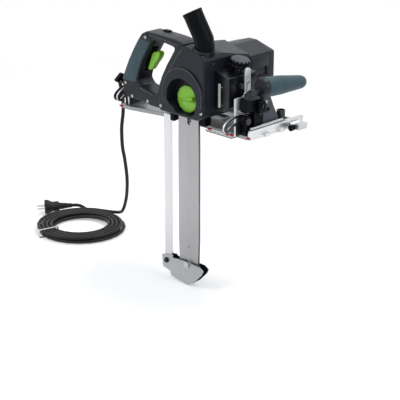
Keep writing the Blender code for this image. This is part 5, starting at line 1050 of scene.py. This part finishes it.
# %% Window frame and level marks
def framed(width, height, wall, rise, edge):
    """A rounded rectangular frame round the origin, raised along Z."""
    part = bmesh.new()
    corner = wall * 1.2
    outline = []
    for side_x, side_y, start in ((1, 1, 0), (-1, 1, 90), (-1, -1, 180), (1, -1, 270)):
        for turn in (0, 30, 60, 90):
            angle = math.radians(start + turn)
            outline.append(((width / 2 + wall - corner) * side_x + corner * math.cos(angle),
                            (height / 2 + wall - corner) * side_y + corner * math.sin(angle)))
    face = part.faces.new([part.verts.new((x, y, 0)) for x, y in outline])
    bmesh.ops.inset_region(part, faces=[face], thickness=wall, use_boundary=True, use_even_offset=True)
    part.faces.remove(face)
    raised(part, rise)
    bmesh.ops.recalc_face_normals(part, faces=part.faces)
    lips = [side for side in edges_above(part, rise / 2)
            if any(face.normal.z < 0.5 for face in side.link_faces)]
    rounded(part, lips, edge)
    return part


WINDOW_X = 0.086
WINDOW_Z = 0.080
MARK_X = 0.0925
MARK_HEIGHTS = (0.0625, 0.0975)
tank_side = probe("oil_tank", *from_near(0.0945, WINDOW_Z)).y
window_place = facing(Vector((WINDOW_X, tank_side, WINDOW_Z)), OUTWARD)
joined("window_frame", [(framed(0.0066, 0.0482, 0.0012, 0.0006, 0.00025), window_place)], anthracite,
       HEAD, 40.0)
level_marks = [(slab(oblong(-0.0022, -0.0003, 0.0022, 0.0003), -0.0002, 0.00015, 0.0),
                facing(Vector((MARK_X, tank_side, z)), OUTWARD)) for z in MARK_HEIGHTS]
joined("level_marks", level_marks, pale, HEAD, 30.0)
print("level marks:", len(level_marks))

# %% Lip of the spout
ROOF_LEAN = math.radians(14.0)
SPOUT_FOOT = Vector((0.050, -0.010, 0.161725))
SPOUT_BASE = 0.010
SPOUT_BEND = 0.014
SPOUT_TUBE = 0.056
LIP_PROFILE = [(0.0166, -0.0050), (0.0186, -0.0050), (0.0195, -0.0042), (0.0196, -0.0012), (0.0190, -0.0001),
               (0.0178, 0.0005), (0.0168, 0.0002)]
roof_way = Vector((math.sin(ROOF_LEAN), 0, math.cos(ROOF_LEAN)))
spout_way = Vector((-0.41, -0.16, 0.90)).normalized()
spout_end = (SPOUT_FOOT + roof_way * SPOUT_BASE + (roof_way + spout_way).normalized() * SPOUT_BEND
             + spout_way * SPOUT_TUBE)
joined("spout_lip", [(spun(LIP_PROFILE, 56, closed=True), facing(spout_end, spout_way))], black, "spout",
       50.0)
print("lip of the spout at", [round(value, 3) for value in spout_end])

# %% [markdown]
# ### Marks of the cut and of the tilt
# Small red pointers at the sole's edge show where the chain will run. The tilt is read from a row of
# painted ticks on the rear bracket, one every five degrees and a longer one every fifteen.

# %% Red pointers
POINTER = [(-0.0042, -0.0018), (0.0022, -0.0018), (0.0048, 0.0), (0.0022, 0.0018), (-0.0042, 0.0018)]
POINTER_PLACES = (("sole_plate", *from_near(-0.1880, 0.0045), 180.0),
                  ("splinter_guard", *from_above(0.0520, 0.0040), 200.0),
                  ("splinter_guard", *from_above(0.1000, 0.0030), 180.0),
                  ("splinter_guard", *from_above(0.1100, 0.0050), 180.0),
                  ("front_beam", *from_near(0.1495, 0.0050), 0.0))
pointers = [(slab(POINTER, -0.0003, 0.0026, 0.0006),
             seated(node, start, way) @ Matrix.Rotation(math.radians(turn_deg), 4, "Z"))
            for node, start, way, turn_deg in POINTER_PLACES]
joined("cut_pointers", pointers, red, BASE, 35.0)
print("red pointers:", len(pointers))

# %% Scale of the tilt
TICK_FIRST_DEG = 70
TICK_LAST_DEG = 130
TICK_STEP_DEG = 5
LONG_STEP_DEG = 15
LONG_TICK = 0.0036
SHORT_TICK = 0.0022
TICK_HALF = 0.00028
SCALE_REACH = 0.0483
ticks = []
for angle_deg in range(TICK_FIRST_DEG, TICK_LAST_DEG + 1, TICK_STEP_DEG):
    angle = math.radians(angle_deg)
    length = SHORT_TICK if (angle_deg - TICK_FIRST_DEG) % LONG_STEP_DEG else LONG_TICK
    middle = SCALE_REACH - length / 2
    start = (BEHIND_START, middle * math.cos(angle), middle * math.sin(angle))
    across = Vector((0, -math.sin(angle), math.cos(angle)))
    outward = Vector((0, math.cos(angle), math.sin(angle)))
    turn = Matrix((across, outward, across.cross(outward))).transposed().to_4x4()
    ticks.append((slab(oblong(-TICK_HALF, -length / 2, TICK_HALF, length / 2), -0.0002, 0.00014, 0.0),
                  Matrix.Translation(probe("rear_bracket", start, FORWARD)) @ turn))
joined("tilt_ticks", ticks, pale, BASE, 30.0)
print("ticks of the tilt:", len(ticks))

# %% [markdown]
# ### Front rail
# The rail on the front of the sole is an extrusion with two lips along its face.

# %% Lips of the front rail
LIP_HEIGHTS = (0.0015, 0.0150)
LIP_WIDTH = 0.0034
RAIL_NEAR = 0.0125
RAIL_FAR = 0.1645
rail_face = probe("front_beam", *from_ahead(0.060, 0.010)).x
joined("rail_lips", [on_front(oblong(RAIL_NEAR, low, RAIL_FAR, low + LIP_WIDTH), rail_face, 0.0011, 0.0005)
                     for low in LIP_HEIGHTS], extruded, BASE, 40.0)
print("face of the rail at", round(rail_face, 4))

# %% [markdown]
# ### Two-coloured parts
# Some solids are moulded in two materials. The soft pad is cut by a plane into two closed pieces and ends
# below the handle's top corner; the trigger is cut to its black carrier, and a green finger lever is built
# anew on it.


# %% Cut pad
def kept(bm, place, away):
    """Cuts mesh code by a plane, drops the side that away points to, and closes the cut."""
    bmesh.ops.bisect_plane(bm, geom=list(bm.verts) + list(bm.edges) + list(bm.faces), plane_co=place,
                           plane_no=away, clear_outer=True)
    open_sides = [side for side in bm.edges if side.is_boundary]
    bmesh.ops.holes_fill(bm, edges=open_sides, sides=0)
    return bm


PAD_END = Vector((-0.0950, 0, 0.1590))
PAD_END_WAY = Vector((0.10, 0, 1.0)).normalized()
lower_pad = kept(merged_copy("grip_pad"), PAD_END, PAD_END_WAY)
pad = softened(built("grip_pad_skin", lower_pad, soft_grip, HEAD, 50.0), 0.0011, 4)
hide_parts("grip_pad")
upper_pad = kept(merged_copy("grip_pad"), PAD_END + PAD_END_WAY * CLEARANCE, -PAD_END_WAY)
softened(built("grip_corner", upper_pad, anthracite, HEAD, 50.0), 0.0009)
print("pad cut at", round(PAD_END.z, 3))

# %% Trigger
TRIGGER_BACK = Vector((-0.0930, 0, 0.1321))
TRIGGER_BACK_WAY = Vector((-0.033, 0, 0.0139)).normalized()
TRIGGER_OUTLINE = [(-0.0925, 0.1322), (-0.0870, 0.1362), (-0.0760, 0.1385), (-0.0715, 0.1372),
                   (-0.0706, 0.1330), (-0.0728, 0.1272), (-0.0778, 0.1204), (-0.0860, 0.1110),
                   (-0.0930, 0.1012), (-0.0975, 0.0972), (-0.1020, 0.0963), (-0.1060, 0.0988)]
TRIGGER_NEAR = -0.0122
TRIGGER_FAR = 0.0022
TRIGGER_EDGE = 0.0024
TRIGGER_FRAME = Matrix(((1, 0, 0, 0), (0, 0, 1, TRIGGER_NEAR), (0, 1, 0, 0), (0, 0, 0, 1)))
back_part = kept(merged_copy("trigger"), TRIGGER_BACK, -TRIGGER_BACK_WAY)
carrier = softened(built("trigger_carrier", back_part, black, "trigger", 45.0), 0.0006, 2)
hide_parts("trigger")

finger = slab(TRIGGER_OUTLINE, 0, TRIGGER_FAR - TRIGGER_NEAR, TRIGGER_EDGE, 4)
flat = [side for side in finger.edges if all(corner.co.z < 0.0001 for corner in side.verts)]
rounded(finger, flat, TRIGGER_EDGE, 4)
joined("trigger_finger", [(finger, TRIGGER_FRAME)], green, "trigger", 50.0)
print("trigger in two colours")

# %% [markdown]
# ### The cover knob
# A fluted disc with a slightly coned face carries a wing that is low and thin on its left and rises
# to the right, so the thumb can push it.

# %% Cover knob
KNOB_AXIS = Vector((0.0136, 0, 0.0613))
KNOB_RADIUS = 0.0270
KNOB_BACK = -0.0138
KNOB_TURN_DEG = 15.0
KNOB_FLUTES = 12
KNOB_RIM_SHARE = 0.88
KNOB_FLUTE_PULL = 0.028
knob_profile = [(0, 0), (KNOB_RADIUS - 0.0010, 0), (KNOB_RADIUS, 0.0010), (KNOB_RADIUS, 0.0046),
                (KNOB_RADIUS - 0.0005, 0.0056), (KNOB_RADIUS - 0.0016, 0.0061), (KNOB_RADIUS * 0.80, 0.0065),
                (KNOB_RADIUS * 0.5, 0.0072), (KNOB_RADIUS * 0.2, 0.0077), (0, 0.0078)]
disc = spun(knob_profile, KNOB_FLUTES * 10)
for corner in disc.verts:
    reach = math.hypot(corner.co.x, corner.co.y)
    if reach > KNOB_RADIUS * KNOB_RIM_SHARE:
        angle = math.atan2(corner.co.y, corner.co.x)
        pull = 1 - KNOB_FLUTE_PULL * max(math.cos(KNOB_FLUTES * angle), 0) ** 2
        corner.co.x *= pull
        corner.co.y *= pull
knob_frame = Matrix.Translation(Vector((KNOB_AXIS.x, KNOB_BACK, KNOB_AXIS.z)))
knob_frame @= Matrix(((1, 0, 0, 0), (0, 0, -1, 0), (0, 1, 0, 0), (0, 0, 0, 1)))
print("flutes of the knob:", KNOB_FLUTES)

# %% Wing of the knob
WING = [(-0.0238, -0.0014), (-0.0228, -0.0024), (-0.010, -0.0046), (0.006, -0.0086), (0.0180, -0.0118),
        (0.0216, -0.0100), (0.0236, -0.0040), (0.0240, 0.0016), (0.0222, 0.0042), (0.006, 0.0036),
        (-0.010, 0.0026), (-0.0228, 0.0016), (-0.0238, 0.0008)]
WING_HALF = 0.024
WING_CREST = 0.0014
WING_FOOT = 0.0062
WING_PINCH = 0.26
wing = slab(WING, 0.0045, 0.0152, 0.0010, 3)
for corner in wing.verts:
    if corner.co.z > WING_FOOT:
        share = (corner.co.x + WING_HALF) / (WING_HALF * 2)
        corner.co.z = WING_FOOT + (corner.co.z - WING_FOOT) * (WING_PINCH + (1 - WING_PINCH) * share)
        corner.co.y = WING_CREST + (corner.co.y - WING_CREST) * WING_PINCH
wing_frame = knob_frame @ Matrix.Rotation(math.radians(KNOB_TURN_DEG), 4, "Z")
knob_skin = joined("cover_knob_winged", [(disc, knob_frame), (wing, wing_frame)], green, "cover_knob",
                   36.0)
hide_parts("cover_knob")
print("knob made")

# %% [markdown]
# ### Raised lines
# The mouldings carry thin raised beads along their edges and round the knob's arch. Each bead is a
# round curve whose points are probed onto the surface, so half of it stands proud. The beads are glossier
# and paler than the body: the gloss is their finish, the paler colour a painted highlight along the edges.
# The beads on the handle's top and sill stand only for highlight lines, so they are painted highlights as a
# whole.

# %% Beads
BEAD_SIDES = 3
BEAD_PIECES = 24
ARCH_PIECES = 90
BEAD_RADIUS = 0.0009
ARCH_MIDDLE = (0.0160, 0.0720)
ARCH_REACH = 0.0534


def bead(name, node, places, radius=BEAD_RADIUS, count=BEAD_PIECES):
    """A raised line on the near side of a node of the head, through (x, z) places, in the paler bead colour
    that is a painted highlight.
    """
    points = []
    for place in eased([Vector((x, 0, z)) for x, z in places], count):
        points.append(probe(node, *from_near(place.x, place.z)))
    line = round_cord(name, points, radius, BEAD_SIDES)
    line.data.materials.append(glossy_painted_highlight)
    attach(line, HEAD)
    return line


arch = [(ARCH_MIDDLE[0] + ARCH_REACH * math.cos(math.radians(angle)),
         ARCH_MIDDLE[1] + ARCH_REACH * math.sin(math.radians(angle))) for angle in range(-18, 200, 6)]
bead("arch_bead", "sprocket_cover", arch, count=ARCH_PIECES)
bead("cover_bead", "sprocket_cover", [(0.0130, 0.1585), (0.0035, 0.1500), (-0.0025, 0.1400),
                                      (-0.0092, 0.1300), (-0.0160, 0.1205), (-0.0215, 0.1115)], 0.0010)
# The handle and sill beads stand for highlight lines along the handle's edges: painted highlights.
bead("handle_bead", "handle_shell_near", [(-0.0850, 0.1722), (-0.0640, 0.1715), (-0.0340, 0.1692),
                                          (-0.0040, 0.1655)])
bead("sill_bead", "handle_shell_near", [(-0.1130, 0.0602), (-0.1050, 0.0577), (-0.0950, 0.0555),
                                        (-0.0850, 0.0535), (-0.0765, 0.0512)])
print("beads made")

# %% [markdown]
# ### Motor side
# The side of the motor has a proud upper band, a framed field and a row of slanted air slots. The slots are
# not cut: thin black plates on the face stand in for them, and their black is painted shade of the openings.

# %% Motor side
SLOT_COUNT = 7
SLOT_START = 0.1020
SLOT_STEP = 0.0060
BAND = [(0.0950, 0.1120), (0.1470, 0.1105), (0.1470, 0.1335), (0.0950, 0.1335)]
motor_face = probe("motor_housing", *from_ahead(0.120, 0.125)).x
joined("motor_band", [on_front(BAND, motor_face, 0.0012, 0.0006)], anthracite, HEAD,
       40.0)
field_place = Matrix.Translation((motor_face - 0.0002, 0.1230, 0.0975)) @ SIDEWAYS
joined("motor_field", [(framed(0.0400, 0.0120, 0.0012, 0.0009, 0.0003), field_place)], anthracite, HEAD,
       40.0)
# Black plates for the air slots: painted shade where the openings would be dark.
slots = []
for index in range(SLOT_COUNT):
    y = SLOT_START + SLOT_STEP * index
    slot_form = [(y - 0.0010, 0.0720), (y + 0.0008, 0.0720), (y + 0.0048, 0.0850), (y + 0.0030, 0.0850)]
    slots.append(on_front(slot_form, motor_face, 0.0003, 0.0))
joined("motor_slot_painted_shade", slots, black, HEAD, 30.0)
print("air slots:", len(slots))

# %% [markdown]
# ### Front plate, bolts and clamp
# The bright front plate is stamped: a shoulder on the left, a narrow tongue at the top with a rounded
# end. Hexagon bolts hold the shoe and the buttress, and a small black clamp with a round hole and a
# screw sits on the front bracket.

# %% Stamped front plate
PLATE_BACK = 0.1217
PLATE_FRONT = 0.1257
PLATE_LINE = [(-0.0010, 0.0285), (0.0120, 0.0280), (0.0240, 0.0320), (0.0300, 0.0400), (0.0335, 0.0520),
              (0.0360, 0.0640), (0.0400, 0.0760), (0.0400, 0.1290), (0.0392, 0.1322), (0.0366, 0.1343),
              (0.0335, 0.1350), (0.0304, 0.1343), (0.0278, 0.1322), (0.0270, 0.1290), (0.0270, 0.0880),
              (0.0240, 0.0835), (0.0200, 0.0805), (0.0010, 0.0805), (-0.0005, 0.0795), (-0.0010, 0.0780)]
front_plate = joined("front_plate_stamped", [(slab(PLATE_LINE, PLATE_BACK, PLATE_FRONT, 0.0005), SIDEWAYS)],
                     blasted, HEAD, 30.0)
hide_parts("front_pivot_plate")
print("corners of the plate's outline:", len(PLATE_LINE))

# %% Hexagon bolts
WASHER_TOP = 0.0012


def hex_head(radius, height, washer):
    """A hexagon bolt head on a washer, whose top faces +Z."""
    part = spun([(0, -0.0003), (washer, -0.0003), (washer, 0.0009), (washer - 0.0003, WASHER_TOP),
                 (0, WASHER_TOP)], 32)
    head = bmesh.new()
    bmesh.ops.create_cone(head, cap_ends=True, segments=6, radius1=radius, radius2=radius, depth=height)
    bmesh.ops.translate(head, verts=head.verts, vec=(0, 0, 0.0010 + height / 2))
    rounded(head, edges_above(head, height * 0.9), height * 0.16)
    added(part, head, Matrix.Identity(4))
    return part


joined("shoe_bolt", [(hex_head(0.0048, 0.0036, 0.0062),
                      seated("shoe_near_plate", *from_near(-0.0627, -0.3060)))],
       dark_steel, HEAD, 30.0)
base_bolts = [(hex_head(0.0042, 0.0030, 0.0056), seated("buttress", *from_ahead(y, 0.0180)))
              for y in (0.0930, 0.0640)]
joined("base_bolts", base_bolts, dark_steel, BASE, 30.0)
print("bolts in the shoe: 1, in the base:", len(base_bolts))

# %% Clamp on the bracket
CLAMP_LOW = (0.0350, 0.0500)
CLAMP_HIGH = (0.0550, 0.0730)
CLAMP_HOLE = (0.0455, 0.0630)
CLAMP_DEPTH = 0.0085
COLLAR_PROFILE = [(0.0040, 0), (0.0058, 0), (0.0060, 0.0004), (0.0060, 0.0016), (0.0055, 0.0020),
                  (0.0044, 0.0020), (0.0040, 0.0016)]
HOLE_PROFILE = [(0, 0), (0.0040, 0), (0.0040, 0.0003), (0, 0.0003)]
bracket_face = probe("front_bracket", *from_ahead(0.0450, 0.0700)).x
clamp_front = bracket_face + CLAMP_DEPTH
clamp_outline = [(CLAMP_LOW[0], CLAMP_LOW[1] + 0.003), (CLAMP_LOW[0] + 0.003, CLAMP_LOW[1]),
                 (CLAMP_HIGH[0], CLAMP_LOW[1]), (CLAMP_HIGH[0], CLAMP_HIGH[1] - 0.006),
                 (CLAMP_HIGH[0] - 0.006, CLAMP_HIGH[1]), (CLAMP_LOW[0], CLAMP_HIGH[1])]
collar = (spun(COLLAR_PROFILE, 36, closed=True), facing(Vector((clamp_front - 0.0003, *CLAMP_HOLE)), FORWARD))
joined("rod_clamp", [on_front(clamp_outline, bracket_face, CLAMP_DEPTH, 0.0008, 3), collar], black, BASE,
       40.0)
screw_place = Vector((bracket_face + 0.0042, (CLAMP_LOW[0] + CLAMP_HIGH[0]) / 2 - 0.002, CLAMP_LOW[1]))
joined("clamp_screw", [(spun(HOLE_PROFILE, 32), facing(Vector((clamp_front - 0.0001, *CLAMP_HOLE)), FORWARD)),
                       (hex_head(0.0030, 0.0024, 0.0036), facing(screw_place, DOWNWARD))],
       dark_steel, BASE, 30.0)
print("clamp stands proud by", CLAMP_DEPTH)

# %% Lugs of the front rail
LUG_HALF = 0.0060
LUGS = ((0.0560, 0.0065), (0.0970, 0.0075))
joined("rail_lugs", [on_front(oblong(y - LUG_HALF, 0.0012, y + LUG_HALF, 0.0085), rail_face, reach, 0.0010, 3)
                     for y, reach in LUGS], extruded, BASE, 40.0)
print("lugs of the rail:", len(LUGS))

# %% [markdown]

# %% [markdown]
# ## Floor and light
# The photograph is a cut-out on white with a faint shadow at most. The floor is white paper that adds a
# little glow for the camera, so it reaches white yet keeps the soft shadow near the saw; far from the
# saw it turns wholly white. The world is white where the camera or a reflection sees it and weaker
# as a light, and three soft lamps model the forms without burning out the metal.

# %% Floor
FLOOR_HALF = 6.0
FLOOR_GLOW = 0.36
GLOW_START = 0.9
GLOW_END = 1.9

floor_mesh = bpy.data.meshes.new("floor")
bm = bmesh.new()
bmesh.ops.create_grid(bm, x_segments=1, y_segments=1, size=FLOOR_HALF,
                      matrix=Matrix.Translation((0, 0, floor_level)))
bm.to_mesh(floor_mesh)
bm.free()
floor = bpy.data.objects.new("floor", floor_mesh)
bpy.context.scene.collection.objects.link(floor)
floor_look, tree, shader = new_material("floor_paper", (0.90, 0.90, 0.90), 0.9)
shader.inputs["Specular IOR Level"].default_value = 0.0
floor_mesh.materials.append(floor_look)
print("floor laid at", round(floor_level, 4))


def seen_directly(tree):
    """One for camera, mirror and glass rays, and nothing for the rays that light the scene."""
    path = tree.nodes.new("ShaderNodeLightPath")
    total = path.outputs["Is Camera Ray"]
    for name in ("Is Glossy Ray", "Is Transmission Ray"):
        either = tree.nodes.new("ShaderNodeMath")
        either.operation = "MAXIMUM"
        tree.links.new(total, either.inputs[0])
        tree.links.new(path.outputs[name], either.inputs[1])
        total = either.outputs["Value"]
    return total


def emitting(tree, strength):
    """A plain white glow."""
    glow = tree.nodes.new("ShaderNodeEmission")
    glow.inputs["Color"].default_value = (1.0, 1.0, 1.0, 1.0)
    glow.inputs["Strength"].default_value = strength
    return glow.outputs["Emission"]


def mixed(tree, share, first, second):
    """Two shaders mixed by a share."""
    mix = tree.nodes.new("ShaderNodeMixShader")
    tree.links.new(share, mix.inputs["Fac"])
    tree.links.new(first, mix.inputs[1])
    tree.links.new(second, mix.inputs[2])
    return mix.outputs["Shader"]


out = tree.nodes["Material Output"]
lifted = tree.nodes.new("ShaderNodeAddShader")
tree.links.new(shader.outputs["BSDF"], lifted.inputs[0])
tree.links.new(emitting(tree, FLOOR_GLOW), lifted.inputs[1])
place = tree.nodes.new("ShaderNodeTexCoord")
away = tree.nodes.new("ShaderNodeVectorMath")
away.operation = "LENGTH"
tree.links.new(place.outputs["Object"], away.inputs[0])
fade = tree.nodes.new("ShaderNodeMapRange")
fade.inputs["From Min"].default_value = GLOW_START
fade.inputs["From Max"].default_value = GLOW_END
tree.links.new(away.outputs["Value"], fade.inputs["Value"])
bright = mixed(tree, fade.outputs["Result"], lifted.outputs["Shader"], emitting(tree, 1.0))
tree.links.new(mixed(tree, seen_directly(tree), shader.outputs["BSDF"], bright), out.inputs["Surface"])
print("floor wholly white beyond", GLOW_END, "m")


# %% World and lamps
def lamp(name, place, aim, size, power):
    """A square soft lamp that looks at a point."""
    light = bpy.data.lights.new(name, "AREA")
    light.shape = "SQUARE"
    light.size = size
    light.energy = power
    made = bpy.data.objects.new(name, light)
    made.location = at(*place)
    made.rotation_euler = (at(*aim) - at(*place)).to_track_quat("-Z", "Y").to_euler()
    bpy.context.scene.collection.objects.link(made)
    return made


HEAD_CENTRE = (0.0, 0.04, 0.06)
lamp("key_lamp", (-0.9, -1.4, 1.5), HEAD_CENTRE, 1.0, 12.0)
lamp("side_lamp", (1.9, 0.3, 0.9), HEAD_CENTRE, 0.8, 7.0)
lamp("top_lamp", (0.2, 0.8, 1.9), HEAD_CENTRE, 1.0, 18.0)

WORLD_STRENGTH = 0.50
world = bpy.data.worlds.new("studio")
bpy.context.scene.world = world
world.use_nodes = True
tree = world.node_tree
tree.nodes.clear()
seen = tree.nodes.new("ShaderNodeBackground")
seen.inputs["Color"].default_value = (1.0, 1.0, 1.0, 1.0)
seen.inputs["Strength"].default_value = 1.0
lit = tree.nodes.new("ShaderNodeBackground")
lit.inputs["Color"].default_value = (0.94, 0.96, 1.0, 1.0)
lit.inputs["Strength"].default_value = WORLD_STRENGTH
out = tree.nodes.new("ShaderNodeOutputWorld")
tree.links.new(mixed(tree, seen_directly(tree), lit.outputs["Background"], seen.outputs["Background"]),
               out.inputs["Surface"])
bpy.context.scene.view_settings.view_transform = "Standard"
print("lamps and a world of strength", WORLD_STRENGTH)
